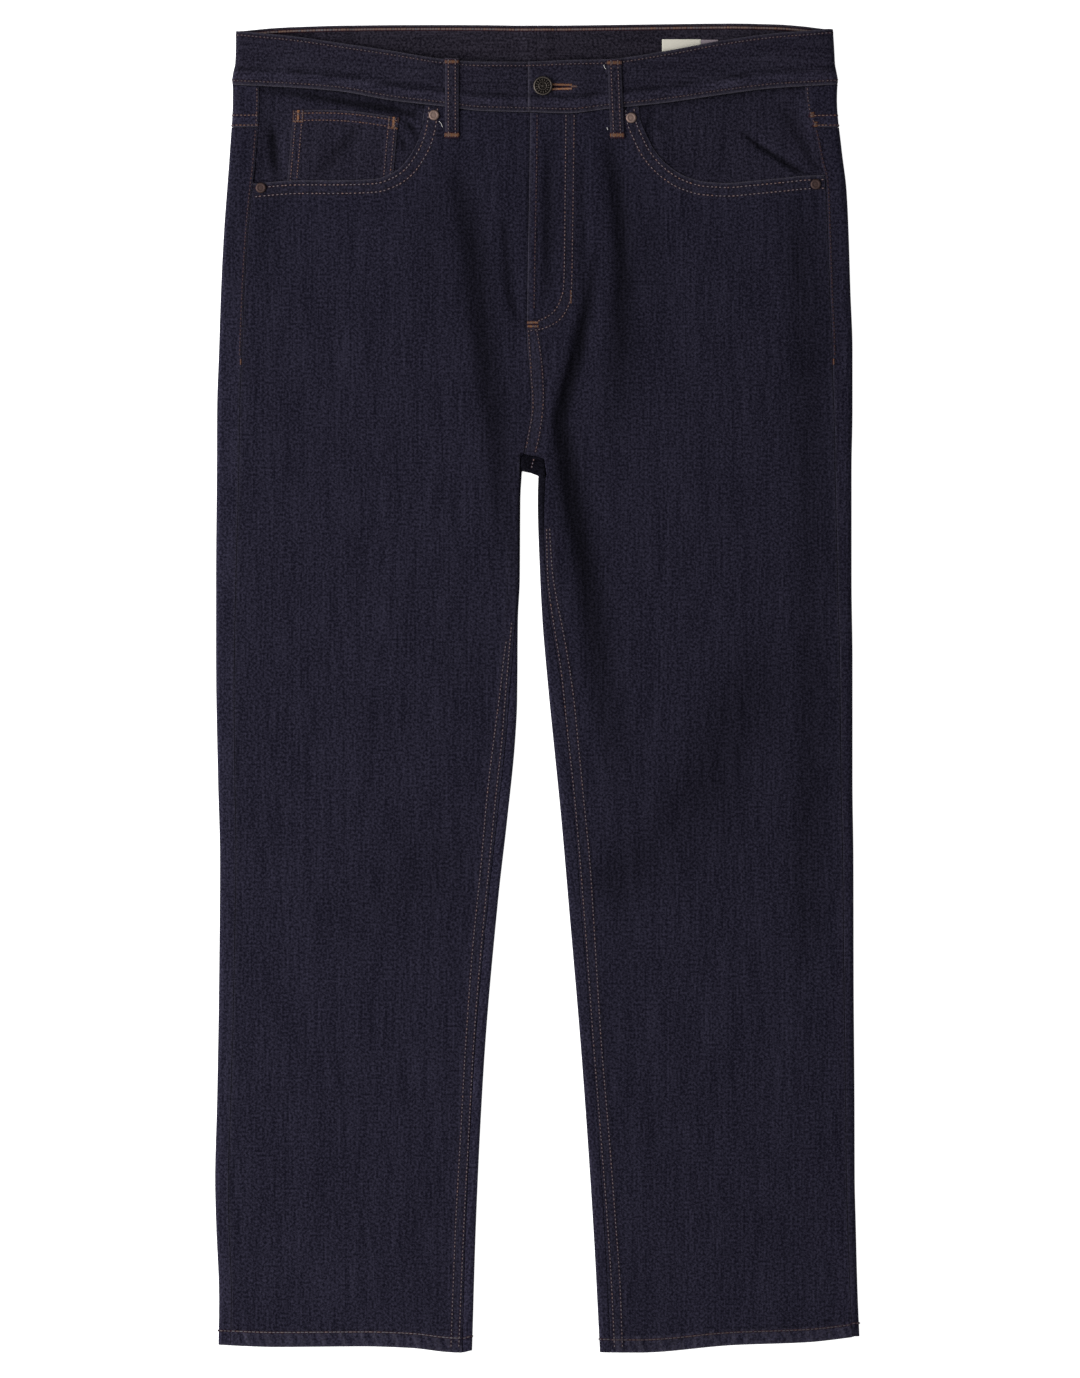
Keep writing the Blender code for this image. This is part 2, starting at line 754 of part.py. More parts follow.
def cut_buttonhole(band, cutters):
    """A keyhole through the over end: an eyelet at the shank and a slit towards the side."""
    x, y = BUTTON_AT
    length = BUTTONHOLE_END - x
    bpy.ops.mesh.primitive_cylinder_add(
        vertices=20, radius=EYELET_RADIUS * MM, depth=CUTTER * MM, location=(x * MM, y * MM, BAND_TOP * MM)
    )
    eyelet = bpy.context.object
    middle = ((x + length / 2) * MM, y * MM, BAND_TOP * MM)
    bpy.ops.mesh.primitive_cube_add(size=MM, location=middle)
    slit = bpy.context.object
    slit.scale = (length, BUTTONHOLE_WIDTH, CUTTER)
    for cutter, name in ((eyelet, "cut_eyelet"), (slit, "cut_slit")):
        cutter.name = name
        cutter.hide_render = True
        cutter.display_type = "WIRE"
        for collection in list(cutter.users_collection):
            collection.objects.unlink(cutter)
        cutters.objects.link(cutter)
        cut = band.modifiers.new(name, "BOOLEAN")
        cut.object = cutter
        cut.operation = "DIFFERENCE"
        cut.solver = "EXACT"


# ---- pockets ----


def facing_height(side, x, y):
    near_side = ease(1 - abs(x - side_seam(side, y)) / 15) if abs(x) < abs(side_seam(side, y)) else 1
    near_band = ease(1 - (waist(x, FRONT_LOW) - y) / 12)
    return FACING_TOP + FACING_RISE * max(near_side, near_band)


def facing_rows(side, inner):
    depth = inner * POCKETING
    rows = []
    for share in (0, 0.12, 0.3, 0.55, 0.8, 0.9, 1):
        row = []
        for step in (0, 0.08, 0.2, 0.45, 0.7, 0.82, 0.9, 0.955, 1):
            y = mix(FACING_FOOT, waist(200 * -INWARD[side], FRONT_LOW), share)
            x = mix(FACING_INNER[side], side_seam(side, y) - INWARD[side] * 5, step)
            y = mix(FACING_FOOT, waist(x, FRONT_LOW) + 4, share)
            row.append((x, y, facing_height(side, x, y) - depth))
        rows.append(row)
    return rows


def add_facing(side, material, collection):
    return wall(f"pocket_facing_{side}", lambda inner: facing_rows(side, inner), material, collection)


def add_coin_pocket(material, collection):
    def rows(inner):
        lift = SEAM + POCKETING * (1 - inner)
        made = []
        for share in (0, 0.35, 0.7, 1):
            (x0, y0), (x1, y1) = [
                (mix(a[0], b[0], share), mix(a[1], b[1], share)) for a, b in zip(COIN_FOOT, COIN_TOP)
            ]
            across = [(mix(x0, x1, t), mix(y0, y1, t)) for t in (0, 0.33, 0.66, 1)]
            made.append([(x, y, facing_height("right", x, y) + lift) for x, y in across])
        return made

    return wall("coin_pocket", rows, material, collection)


def add_back_pocket(side, material, collection):
    """A flat five-sided patch on the underside, from a filled outline."""
    size = BACK_POCKET
    middle = -INWARD[side] * size["x"]
    outline = (
        (-size["wide"] / 2, 0),
        (-size["narrow"] / 2, -size["side"]),
        (0, -size["point"]),
        (size["narrow"] / 2, -size["side"]),
        (size["wide"] / 2, 0),
    )
    data = bpy.data.curves.new(f"pocket_back_{side}", "CURVE")
    data.dimensions = "2D"
    data.fill_mode = "BOTH"
    data.extrude = POCKETING / 2 * MM
    spline = data.splines.new("POLY")
    spline.points.add(len(outline) - 1)
    for point, (x, y) in zip(spline.points, outline):
        point.co = ((middle + x) * MM, (size["top"] + y) * MM, 0, 1)
    spline.use_cyclic_u = True
    obj = add_object(f"pocket_back_{side}", data, material, collection)
    obj.location.z = POCKETING / 2 * MM
    return obj


# ---- belt loops ----


def add_front_loop(side, material, collection):
    x_top, x_foot, y_top, y_foot = FRONT_LOOPS[side]
    band_edge = waist(x_top, FRONT_LOW)
    stations = (y_foot, y_foot + 8, band_edge - 8, band_edge - 1.2, band_edge + 6, y_top - 8, y_top)

    def rows(inner):
        made = []
        for y in stations:
            x = mix(x_foot, x_top, (y - y_foot) / (y_top - y_foot))
            if y > band_edge - 2:
                base = BAND_TOP
            else:
                base = max(front_height(side, x + dx, y) for dx in (-LOOP_WIDTH / 2, 0, LOOP_WIDTH / 2))
            z = base + SEAM + LOOP * (1 - inner)
            made.append([(x + dx, y, z) for dx in (-LOOP_WIDTH / 2, 0, LOOP_WIDTH / 2)])
        return made

    return wall(f"belt_loop_front_{side}", rows, material, collection)


def add_flat_piece(name, x0, x1, y0, y1, z, thickness, material, collection):
    """A flat strip with its edges broken by a small bevel."""
    bpy.ops.mesh.primitive_cube_add(size=1)
    obj = bpy.context.object
    obj.name = name
    obj.data.name = name
    obj.data.materials.append(material)
    for old in list(obj.users_collection):
        old.objects.unlink(obj)
    collection.objects.link(obj)
    for vertex in obj.data.vertices:
        vertex.co.x *= (x1 - x0) * MM
        vertex.co.y *= (y1 - y0) * MM
        vertex.co.z *= thickness * MM
    obj.location = ((x0 + x1) / 2 * MM, (y0 + y1) / 2 * MM, (z + thickness / 2) * MM)
    bevel = obj.modifiers.new("edges", "BEVEL")
    bevel.width = 0.2 * MM
    bevel.segments = 1
    return obj


def add_back_loops(material, collection):
    for name, x in (("right", -BACK_LOOP_X), ("centre", 0.0), ("left", BACK_LOOP_X)):
        top = waist(x, BACK_HIGH) - 1
        add_flat_piece(
            f"belt_loop_back_{name}",
            x - LOOP_WIDTH / 2,
            x + LOOP_WIDTH / 2,
            top - BACK_LOOP_LENGTH,
            top,
            0,
            LOOP,
            material,
            collection,
        )


# ---- metal ----


def add_turned(name, profile, at, base, material, collection, steps=24):
    """A round piece from its profile, given as radius and height from the axis, top first."""
    mesh = bpy.data.meshes.new(name)
    points = [(radius * MM, 0, height * MM) for radius, height in profile]
    mesh.from_pydata(points, [(i, i + 1) for i in range(len(points) - 1)], [])
    obj = add_object(name, mesh, material, collection)
    obj.location = (at[0] * MM, at[1] * MM, base * MM)
    screw = obj.modifiers.new("turn", "SCREW")
    screw.steps = screw.render_steps = steps
    screw.use_merge_vertices = True
    screw.merge_threshold = 0.00001
    return obj


def add_button(material, collection):
    over = band_height("left", BUTTON_AT[0])
    under = band_height("right", BUTTON_AT[0])
    head = over + SEAM - (under + SEAM)
    profile = (
        (0, head + 1.9),
        (3.2, head + 1.9),
        (4.0, head + 2.3),
        (6.6, head + 2.1),
        (7.2, head + 2.4),
        (BUTTON_RADIUS, head + 1.6),
        (BUTTON_RADIUS, head + 0.9),
        (BUTTON_RADIUS - 0.7, head),
        (SHANK_RADIUS, head),
        (SHANK_RADIUS, 0),
        (0, 0),
    )
    return add_turned("button", profile, BUTTON_AT, under + SEAM, material, collection)


def add_rivets(material, collection):
    profile = ((0, 1.5), (1.6, 1.4), (2.3, 0.9), (3.0, 0.9), (3.9, 0.7), (RIVET_RADIUS, 0.3))
    profile += ((RIVET_RADIUS, 0), (0, 0))
    for name, (x, y) in RIVETS.items():
        side = "right" if x < 0 else "left"
        base = max(front_height(side, x + dx, y + dy) for dx in (-4, 0, 4) for dy in (-4, 0, 4))
        add_turned(name, profile, (x, y), base + SEAM, material, collection, 16)


# ---- the whole garment ----


def main():
    for obj in list(bpy.data.objects):
        bpy.data.objects.remove(obj)
    jeans = bpy.data.collections.new("jeans")
    cutters = bpy.data.collections.new("cutters")
    for collection in (jeans, cutters):
        bpy.context.scene.collection.children.link(collection)

    denim = make_material("denim", (0.016, 0.015, 0.027), 0.9)
    dark_metal = make_material("button metal", (0.10, 0.085, 0.07), 0.42, 1.0)
    copper = make_material("rivet metal", (0.30, 0.17, 0.09), 0.4, 1.0)
    label_cloth = make_material("label cloth", (0.72, 0.68, 0.58), 0.8)
    tab_cloth = make_material("tab cloth", (0.28, 0.28, 0.30), 0.8)

    for side in SIDES:
        add_front(side, denim, jeans)
        add_back(side, denim, jeans)
        add_yoke(side, denim, jeans)
        band = add_band(side, denim, jeans)
        if side == "left":
            cut_buttonhole(band, cutters)
        add_facing(side, denim, jeans)
        add_back_pocket(side, denim, jeans)
        add_front_loop(side, denim, jeans)
    add_coin_pocket(denim, jeans)
    add_back_loops(denim, jeans)
    add_button(dark_metal, jeans)
    add_rivets(copper, jeans)
    inside = BAND + SEAM
    add_flat_piece("label", *LABEL, inside, LABEL_THICKNESS, label_cloth, jeans)
    add_flat_piece("label_tab", *SIZE_TAB, inside, LABEL_THICKNESS, tab_cloth, jeans)


main()
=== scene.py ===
# Straight-leg jeans laid face up: denim shells, sewing, metal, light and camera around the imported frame.
# X runs to the wearer's left, Y to the waist and Z up. Tables are in millimetres, mm makes them metres.

import math

import bmesh
import bpy
import numpy as np
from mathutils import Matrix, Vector


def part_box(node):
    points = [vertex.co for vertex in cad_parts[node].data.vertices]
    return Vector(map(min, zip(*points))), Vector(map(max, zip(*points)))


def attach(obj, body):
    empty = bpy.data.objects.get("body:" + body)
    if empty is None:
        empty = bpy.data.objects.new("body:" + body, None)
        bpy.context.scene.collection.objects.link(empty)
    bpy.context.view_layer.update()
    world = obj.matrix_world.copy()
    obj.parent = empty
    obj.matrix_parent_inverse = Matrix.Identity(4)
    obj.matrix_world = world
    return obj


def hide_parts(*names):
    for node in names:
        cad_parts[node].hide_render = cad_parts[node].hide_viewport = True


mm = 0.001
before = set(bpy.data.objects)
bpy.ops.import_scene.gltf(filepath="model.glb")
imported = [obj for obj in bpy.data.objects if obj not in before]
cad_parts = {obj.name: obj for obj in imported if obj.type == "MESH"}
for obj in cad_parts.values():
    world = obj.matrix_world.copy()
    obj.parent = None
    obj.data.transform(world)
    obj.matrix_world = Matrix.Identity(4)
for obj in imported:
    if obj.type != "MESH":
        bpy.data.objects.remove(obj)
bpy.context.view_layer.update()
print("frame loaded:", len(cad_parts), "nodes")

sides = ("right", "left")
column = {"right": 1, "left": 2}
inward = {"right": 1, "left": -1}  # the way to the middle along X

cloth = {
    "wall": 1.2,
    "pocketing": 1.0,
    "coin": 0.7,
    "band": 2.2,
    "loop": 0.9,
    "turnedHem": 2.1,
    "hemDepth": 12.0,
    "seam": 0.3,  # clear space between neighbours
    "fold": 4.5,  # how far in a rolled edge starts
    "bandFold": 5.0,  # the same for the waistband
    "rubbed": 0.9,  # how far a rubbed edge reaches
    "rim": 0.3,  # rounding of the cut edges
}

# y, right edge, left edge
outline = (
    (-560, -270.8, 273.7), (-520, -270.3, 272.2), (-452, -272.9, 270.5), (-418, -273.7, 269.7),
    (-350, -272.0, 269.5), (-248, -270.3, 268.8), (-146, -269.5, 268.6), (-78, -271.2, 267.8),
    (24, -272.9, 267.8), (92, -272.9, 267.0), (185, -272.2, 267.0), (236, -272.0, 267.8),
    (287, -270.3, 267.8), (338, -268.6, 266.0), (389, -266.0, 264.4), (423, -263.5, 262.7),
    (457, -261.0, 258.6), (500, -258.6, 254.6), (508, -258.6, 254.8), (516, -259.1, 255.3),
    (523, -258.2, 254.2), (530, -256.6, 252.9), (540, -256.1, 252.4), (565, -255.8, 250.8),
)
# y, inner edge of the right leg, of the left leg
legInner = (
    (-560, -55.3, 53.2), (-452, -51.9, 47.2), (-316, -45.0, 37.8), (-180, -33.2, 26.3),
    (-112, -25.5, 20.4), (-44, -18.7, 13.6), (-10, -17.0, 10.2), (58, -16.4, 4.3),
    (92, -14.8, 2.5), (160, -14.3, 0.4), (185, -12.9, 1.0),
)
# y, how far in the side seam is from the right edge, from the left edge
sideInset = (
    (-565, 10.6, 6.0), (-487, 11.0, 6.5), (0, 15.5, 10.5), (200, 19.2, 14.3), (275, 19.8, 17.0),
    (343, 20.2, 17.5), (395, 20.8, 17.6), (430, 21.8, 17.2), (447, 22.5, 19.0), (474, 22.8, 21.5),
    (491, 22.8, 25.5), (515, 22.7, 28.0),
)
# y, how far in the inseam is from the right leg's inner edge, from the left leg's
inseamInset = (
    (-565, 8.5, 9.4), (-265, 8.5, 10.0), (-90, 8.5, 11.5), (-17, 7.2, 12.0), (30, 4.0, 9.6),
    (75, 1.4, 5.8), (113, 1.2, 4.8), (150, 1.2, 5.4), (178, 1.2, 6.2),
)
# y, edge of the left front, rise seam behind
centre = (
    (200, -11.2, -4.2), (210, -9.4, -4.6), (231, -5.6, -4.4), (245, -5.1, -4.2), (266, -6.4, -3.8),
    (304, -8.9, -3.2), (330, -8.5, -2.8), (400, -7.3, -1.6), (487, -6.0, -0.4), (532, -8.0, 0.0),
)
# x, y of the hem's lower edge
hemEdge = (
    (-270.3, -557.9), (-221.9, -559.6), (-147.9, -559.1), (-108.0, -560.4), (-74.8, -564.0),
    (-64.6, -564.4), (-55.3, -562.7), (52.7, -564.2), (85.9, -564.4), (166.6, -558.0),
    (227.8, -555.7), (274.6, -550.5),
)
hemLine = -560.0
hemLevel = -480.0  # rows run straight across from here up
# x, lower and upper edge of the waistband in front, then behind
waistEdges = (
    (-256, 511.9, 557.6, 514.0, 558.0), (-212, 510.0, 553.8, 515.5, 561.2),
    (-168, 506.6, 547.6, 517.0, 562.5), (-124, 499.0, 541.0, 518.5, 563.1),
    (-78, 493.5, 533.8, 519.0, 563.2), (-47, 489.9, 531.7, 519.0, 563.1), (-8, 488.9, 531.7, 518.5, 562.6),
    (26, 487.9, 533.0, 518.5, 562.8), (59, 491.6, 533.8, 519.0, 563.2), (110, 497.0, 540.9, 519.5, 563.9),
    (157, 503.8, 549.7, 519.5, 564.4), (200, 509.2, 555.6, 518.0, 563.8), (251, 512.2, 559.5, 514.0, 559.5),
)
frontLow, frontHigh, backLow, backHigh = 1, 2, 3, 4
# y, height of the front's upper face
heights = (
    (-565, 4.9), (-500, 5.1), (-200, 5.2), (150, 5.3), (200, 5.6), (300, 6.0), (420, 6.3), (565, 6.3),
)
bandTop = {"right": 7.8, "left": 7.8, "overLift": 0.9, "underDip": 1.6, "underEnd": 38.0}

# the fronts' inner boundary over the gap, for these nominal rows
crotchRows = (183.5, 192.0, 200.0)
crotchEdge = {
    "right": ((-14.9, 184.0), (-14.6, 199.4), (-11.4, 199.4)),
    "left": ((8.0, 181.0), (5.8, 195.2), (-10.9, 198.6)),
}
gapCorner = {"right": (-12.9, 184.2), "left": (1.0, 180.0)}
gapMiddle = {"right": (-5.0, 182.3), "left": (-4.98, 182.3)}
cornerToward = {"right": (0.15, -0.99), "left": (-0.71, -0.71)}
backCorner = {"right": (-14.0, 198.8), "left": (5.6, 194.6)}
backCrotch = {"right": (-4.2, 196.8), "left": (-4.18, 196.8)}
crotchHeight = 4.8

# pocket mouths from the waistband to the side seam: share of the panel's width, x, y
mouths = {
    "right": (
        (0.42, -95.6, 495.0), (0.445, -96.8, 481.5), (0.47, -100.3, 466.8), (0.50, -106.7, 453.9),
        (0.53, -115.0, 442.9), (0.57, -124.2, 436.6), (0.62, -139.0, 432.0), (0.70, -171.0, 431.0),
        (0.80, -202.0, 431.0), (0.90, -226.0, 429.6), (1, -241.5, 428.1),
    ),
    "left": (
        (0.375, 85.9, 493.9), (0.40, 87.4, 482.5), (0.43, 91.8, 471.6), (0.46, 98.6, 458.0),
        (0.50, 110.5, 444.3), (0.55, 125.8, 434.5), (0.61, 142.0, 429.9), (0.68, 161.5, 428.8),
        (0.76, 181.0, 430.4), (0.84, 208.0, 433.0), (0.92, 228.0, 435.0), (1, 244.5, 435.6),
    ),
}
yokeLine = (476.0, 448.5)  # y of the yoke seam at the side, at the centre back
backPocket = {"x": 136.0, "top": 438.0, "wide": 154.0, "narrow": 136.0, "side": 128.0, "point": 160.0}
backLoops = {"right": -172.0, "centre": 0.0, "left": 172.0}
backLoopLength = 66.0
loopWide = 11.8
# x at the top, x at the foot, y at the top, y at the foot
frontLoops = {"right": (-72.4, -72.4, 534.4, 466.8), "left": (65.4, 68.0, 533.6, 466.6)}
coinCorners = {"foot": ((-213.0, 421.0), (-123.5, 421.0)), "top": ((-207.1, 490.5), (-117.7, 484.3))}
facing = {
    "foot": 413.0,
    "inner": {"right": -82.0, "left": 74.0},
    "level": 3.9,
    "rise": 0.9,  # beside the band and the side seam
    "mouth": {"right": (0.75, 7), "left": (1.5, 12)},  # lift under the mouth, and how far it reaches
    "mouthShade": {"right": 0.3, "left": 0.0},
    "bandShade": 0.8,
}


def ease(t):
    t = np.clip(t, 0.0, 1.0)
    return t * t * (3 - 2 * t)


def mix(a, b, t):
    return a + (b - a) * t


def window(value, low, high, ramp):
    # 1 between low and high, falling to 0 over ramp on either side
    return np.minimum(ease((value - low + ramp) / ramp), ease((high - value + ramp) / ramp))


def curve(table, col, at):
    # smooth values between a table's rows, with no overshoot
    rows = np.array(table, float)
    xs, ys = rows[:, 0], rows[:, col]
    slope = np.diff(ys) / np.diff(xs)
    tangent = np.concatenate([slope[:1], np.zeros(len(xs) - 2), slope[-1:]])
    product = slope[:-1] * slope[1:]
    same = product > 0
    tangent[1:-1][same] = 2 * product[same] / (slope[:-1] + slope[1:])[same]
    at = np.clip(at, xs[0], xs[-1])
    i = np.clip(np.searchsorted(xs, at) - 1, 0, len(xs) - 2)
    step = xs[i + 1] - xs[i]
    t = (at - xs[i]) / step
    ends = ys[i] * (1 + 2 * t) * (1 - t) ** 2 + ys[i + 1] * t * t * (3 - 2 * t)
    return ends + step * (tangent[i] * t * (1 - t) ** 2 - tangent[i + 1] * t * t * (1 - t))


def smoothLine(points, step=1.0):
    # an even, rounded line through points
    points = np.array(points, float)
    before = np.vstack([2 * points[0] - points[1], points[:-1]])
    after = np.vstack([points[1:], 2 * points[-1] - points[-2]])
    slope = (after - before) / 2
    fine = [points[:1]]
    for a, b, u, v in zip(points, points[1:], slope, slope[1:]):
        t = np.linspace(0, 1, 17)[1:, None]
        bend = a * (1 + 2 * t) * (1 - t) ** 2 + b * t * t * (3 - 2 * t)
        fine.append(bend + u * t * (1 - t) ** 2 - v * t * t * (1 - t))
    return evenLine(np.vstack(fine), step)


def evenLine(points, step):
    points = np.array(points, float)
    along = np.concatenate([[0], np.cumsum(np.linalg.norm(np.diff(points, axis=0), axis=1))])
    count = max(int(round(along[-1] / step)), 2)
    at = np.linspace(0, along[-1], count + 1)
    return np.stack([np.interp(at, along, points[:, k]) for k in range(points.shape[1])], axis=1)


def sideways(line, distance):
    # a line of x, y points moved to its left by distance
    way = np.gradient(line, axis=0)
    way /= np.linalg.norm(way, axis=1)[:, None]
    return line + distance * np.stack([-way[:, 1], way[:, 0]], axis=1)


def ripple(along, wave, seed):
    # uneven waves along a seam, from about -1 to 1
    turn = 2 * math.pi * np.asarray(along) / wave
    mixed = np.sin(turn + seed) + 0.7 * np.sin(1.63 * turn + 2.1 * seed)
    return (mixed + 0.6 * np.sin(0.57 * turn + 4.7 * seed)) / 1.8


def nearLine(x, y, line, reach):
    # how far each point is from a line, and how far along it; only what lies within reach counts
    away = np.full(x.shape, 1e3)
    along = np.zeros(x.shape)
    line = evenLine(line, 4.0)
    length = np.concatenate([[0], np.cumsum(np.linalg.norm(np.diff(line, axis=0), axis=1))])
    (x0, y0), (x1, y1) = line.min(axis=0) - reach, line.max(axis=0) + reach
    near = np.nonzero((x > x0) & (x < x1) & (y > y0) & (y < y1))
    px, py = x[near][:, None], y[near][:, None]
    if px.size == 0:
        return away, along
    a, d = line[:-1], np.diff(line, axis=0)
    t = np.clip(((px - a[:, 0]) * d[:, 0] + (py - a[:, 1]) * d[:, 1]) / (d**2).sum(axis=1), 0, 1)
    gap = np.hypot(px - a[:, 0] - t * d[:, 0], py - a[:, 1] - t * d[:, 1])
    best = gap.argmin(axis=1)
    pick = np.arange(len(best))
    away[near] = gap[pick, best]
    along[near] = length[best] + t[pick, best] * np.diff(length)[best]
    return away, along


def outerEdge(side, y):
    return curve(outline, column[side], y)


def innerEdge(side, y):
    return curve(legInner, column[side], y)


def sideSeam(side, y):
    return outerEdge(side, y) + inward[side] * curve(sideInset, column[side], y)


def inseamIn(side, y):
    return curve(inseamInset, column[side], y)


def waist(x, edge):
    return curve(waistEdges, edge, x)


def yokeSeam(side, x):
    return mix(yokeLine[1], yokeLine[0], np.clip(x / outerEdge(side, yokeLine[0]), 0, 1))


def atHem(x, y):
    # rows near the hem follow its edge
    share = np.clip((hemLevel - y) / (hemLevel - hemLine), 0, 1)
    edge = curve(hemEdge, 1, x)
    return y + (edge - hemLine) * share


def mouthLine(side):
    return smoothLine([row[1:] for row in mouths[side]], 2.0)


def wallAt(y):
    share = np.clip((hemLine + cloth["hemDepth"] + 3 - y) / 3, 0, 1)
    return mix(cloth["wall"], cloth["turnedHem"], share)


# folds: x, y, half width, depth along each
foldRows = (
    ((60, 472, 4, 0.2), (61, 453, 5, 1.2), (66, 425, 6, 1.7), (69.5, 399, 6, 1.9), (72, 345, 7, 1.9),
     (70, 290, 8, 1.4), (67, 250, 9, 0.7), (60, 200, 10, 0.1)),
    ((50, 385, 3.5, 0.1), (46, 355, 4, 1.0), (41.7, 326, 4, 2.0), (32.5, 283, 4.2, 2.7),
     (22.5, 247, 4.4, 2.8), (18, 227, 5, 2.5), (22, 200, 7, 2.4), (28, 162, 8, 2.3), (34, 130, 8, 2.2),
     (41, 95, 8.5, 2.0), (47, 50, 9, 1.6), (53, 6, 10, 1.1), (62, -45, 12, 0.6), (69, -95, 14, 0.1)),
    ((-76, 450, 6, 0.3), (-67, 425, 8, 1.2), (-57, 372, 9, 1.6), (-49, 309, 9, 1.6), (-41, 250, 9, 1.5),
     (-34, 200, 9, 1.2), (-30, 150, 10, 0.7), (-27, 95, 12, 0.1)),
    ((-28.5, 404, 3, 0.1), (-28, 391, 3.2, 1.0), (-24.6, 337, 3.2, 1.2), (-19, 318, 3, 1.0),
     (-13, 307, 3, 0.4)),
    ((9.5, 474, 4, 0.3), (9.2, 430, 4.5, 1.2), (8.5, 380, 4.5, 1.3), (7.6, 345, 4.5, 1.0), (6, 322, 4, 0.1)),
    ((38, 454, 3, 0.1), (37, 436, 3.3, 0.9), (37, 385, 3.5, 0.9), (38, 345, 3.5, 0.7), (41, 326, 3.5, 0.2)),
    ((88, 440, 5, 0.05), (92, 405, 7, 0.5), (96, 360, 8, 0.5), (98, 310, 8, 0.05)),
    ((-88, 448, 6, 0.1), (-92, 410, 8, 0.5), (-93, 360, 9, 0.4), (-92, 310, 9, 0.05)),
    ((214, 424, 10, 0.2), (222, 380, 12, 0.9), (227, 300, 12, 0.9), (228, 200, 12, 0.8), (230, 90, 12, 0.6),
     (231, 0, 12, 0.8), (229, -110, 13, 0.9), (226, -190, 12, 0.6), (224, -262, 12, 0.1)),
    ((186, 40, 22, 0.1), (172, -5, 26, 0.8), (140, -78, 26, 0.9), (104, -126, 22, 0.6), (62, -163, 16, 0.9),
     (58, -190, 14, 0.2)),
    ((-226, 420, 9, 0.5), (-232, 370, 9, 0.5), (-234, 330, 10, 0.1)),
    ((-80, 60, 14, 0.05), (-66, 24, 16, 0.35), (-58, -10, 14, 0.05)),
    ((-66, -112, 14, 0.05), (-92, -150, 20, 0.4), (-140, -182, 22, 0.3), (-190, -196, 20, 0.05)),
)
# ridges: x, y, half width, height along each
ridgeRows = (
    ((18, 345, 5, 0.05), (26, 300, 6, 0.5), (14, 250, 6, 0.6), (11, 200, 6, 0.7), (14, 150, 6, 0.6),
     (15, 100, 6, 0.4), (20, 50, 6, 0.05)),
    ((50, 470, 5, 0.1), (48, 440, 6, 0.6), (51, 400, 6, 0.8), (56, 350, 6, 0.8), (54, 300, 6, 0.7),
     (48, 262, 6, 0.3)),
    ((-44, 440, 7, 0.1), (-41, 390, 7, 0.7), (-36, 330, 7, 0.6), (-28, 280, 8, 0.1)),
    ((-15, 450, 6, 0.1), (-14.5, 390, 6, 0.5), (-12.5, 330, 6, 0.3), (-14, 280, 6, 0.05)),
)
# soft troughs behind, under the seat, behind the knees and down the calves
behindRows = (
    ((-60, 168, 8, 0.1), (-95, 190, 10, 0.8), (-140, 204, 11, 0.6), (-190, 211, 12, 0.1)),
    ((-52, 118, 8, 0.1), (-90, 137, 10, 0.6), (-128, 146, 10, 0.3), (-160, 149, 11, 0.05)),
    ((54, 174, 8, 0.1), (88, 199, 10, 0.9), (128, 214, 11, 0.5), (176, 226, 12, 0.1)),
    ((60, 96, 9, 0.1), (104, 118, 10, 0.6), (150, 123, 11, 0.2)),
    ((-88, -90, 9, 0.1), (-130, -106, 10, 0.7), (-180, -101, 11, 0.6), (-222, -112, 11, 0.1)),
    ((-104, -138, 8, 0.1), (-150, -151, 9, 0.5), (-192, -142, 10, 0.1)),
    ((92, -78, 9, 0.1), (136, -97, 10, 0.8), (184, -90, 11, 0.5), (220, -99, 11, 0.1)),
    ((112, -134, 8, 0.1), (160, -141, 9, 0.5), (202, -128, 10, 0.1)),
    ((-146, -290, 14, 0.1), (-158, -372, 15, 0.6), (-150, -448, 14, 0.1)),
    ((148, -262, 14, 0.1), (161, -341, 15, 0.5), (152, -425, 14, 0.1)),
)


def foldDepth(x, y, rows, gentle=1.8):
    # how deep the folds are here: each runs through its own points, and its far side is gentler
    total = np.zeros(x.shape)
    for row in rows:
        best = np.zeros(x.shape)
        for (x0, y0, w0, d0), (x1, y1, w1, d1) in zip(row, row[1:]):
            run = (x - x0) * (x1 - x0) + (y - y0) * (y1 - y0)
            t = np.clip(run / ((x1 - x0) ** 2 + (y1 - y0) ** 2), 0, 1)
            dx, dy = x - mix(x0, x1, t), y - mix(y0, y1, t)
            half = mix(w0, w1, t) * mix(1, gentle, ease(0.5 + dx / mix(w0, w1, t)))
            best = np.maximum(best, mix(d0, d1, t) * np.exp(-(dx**2 + dy**2) / half**2))
        total = np.hypot(total, best)
    return total


flyEnd = (276.0, 298.0, 318.0)  # y where the two layers begin to part, are apart, and lap in full
flyLap = {"lift": 0.4, "dip": 1.1, "wide": 12.6}
# x, y of the fly's two rows of sewing
flyCurve = ((24.6, 492), (23.8, 420), (22.9, 350), (20.6, 332), (14.2, 319.6), (3.0, 312.4), (-6.5, 309.5))
flyCurveOuter = (
    (31.5, 492), (30.6, 420), (29.4, 345), (28.0, 329), (20.4, 314), (7.0, 305.8), (-6.5, 303.4),
)


def flyStep(side, x, y):
    # the left front rides over the right one, which dips
    apart = ease((y - flyEnd[0]) / (flyEnd[1] - flyEnd[0]))
    edge = curve(centre, 1, y)
    if side == "right":
        return -flyLap["dip"] * apart * ease((x - edge + 22) / 18)
    return flyLap["lift"] * apart * (1 - ease((x - edge - 14) / 16))


def frontHeight(side, x, y):
    coin = 0.4 * window(x, -214.0, -119.0, 24) * window(y, 405.0, 445.0, 30)
    low, high = foldDepth(x, y, foldRows), foldDepth(x, y, ridgeRows, 1.2)
    soft = 0.12 * np.sin(x / 23 + 1.3 * np.sin(y / 61)) * np.sin(y / 83 + x / 140)
    return curve(heights, 1, y) - low + high + soft + flyStep(side, x, y) + coin


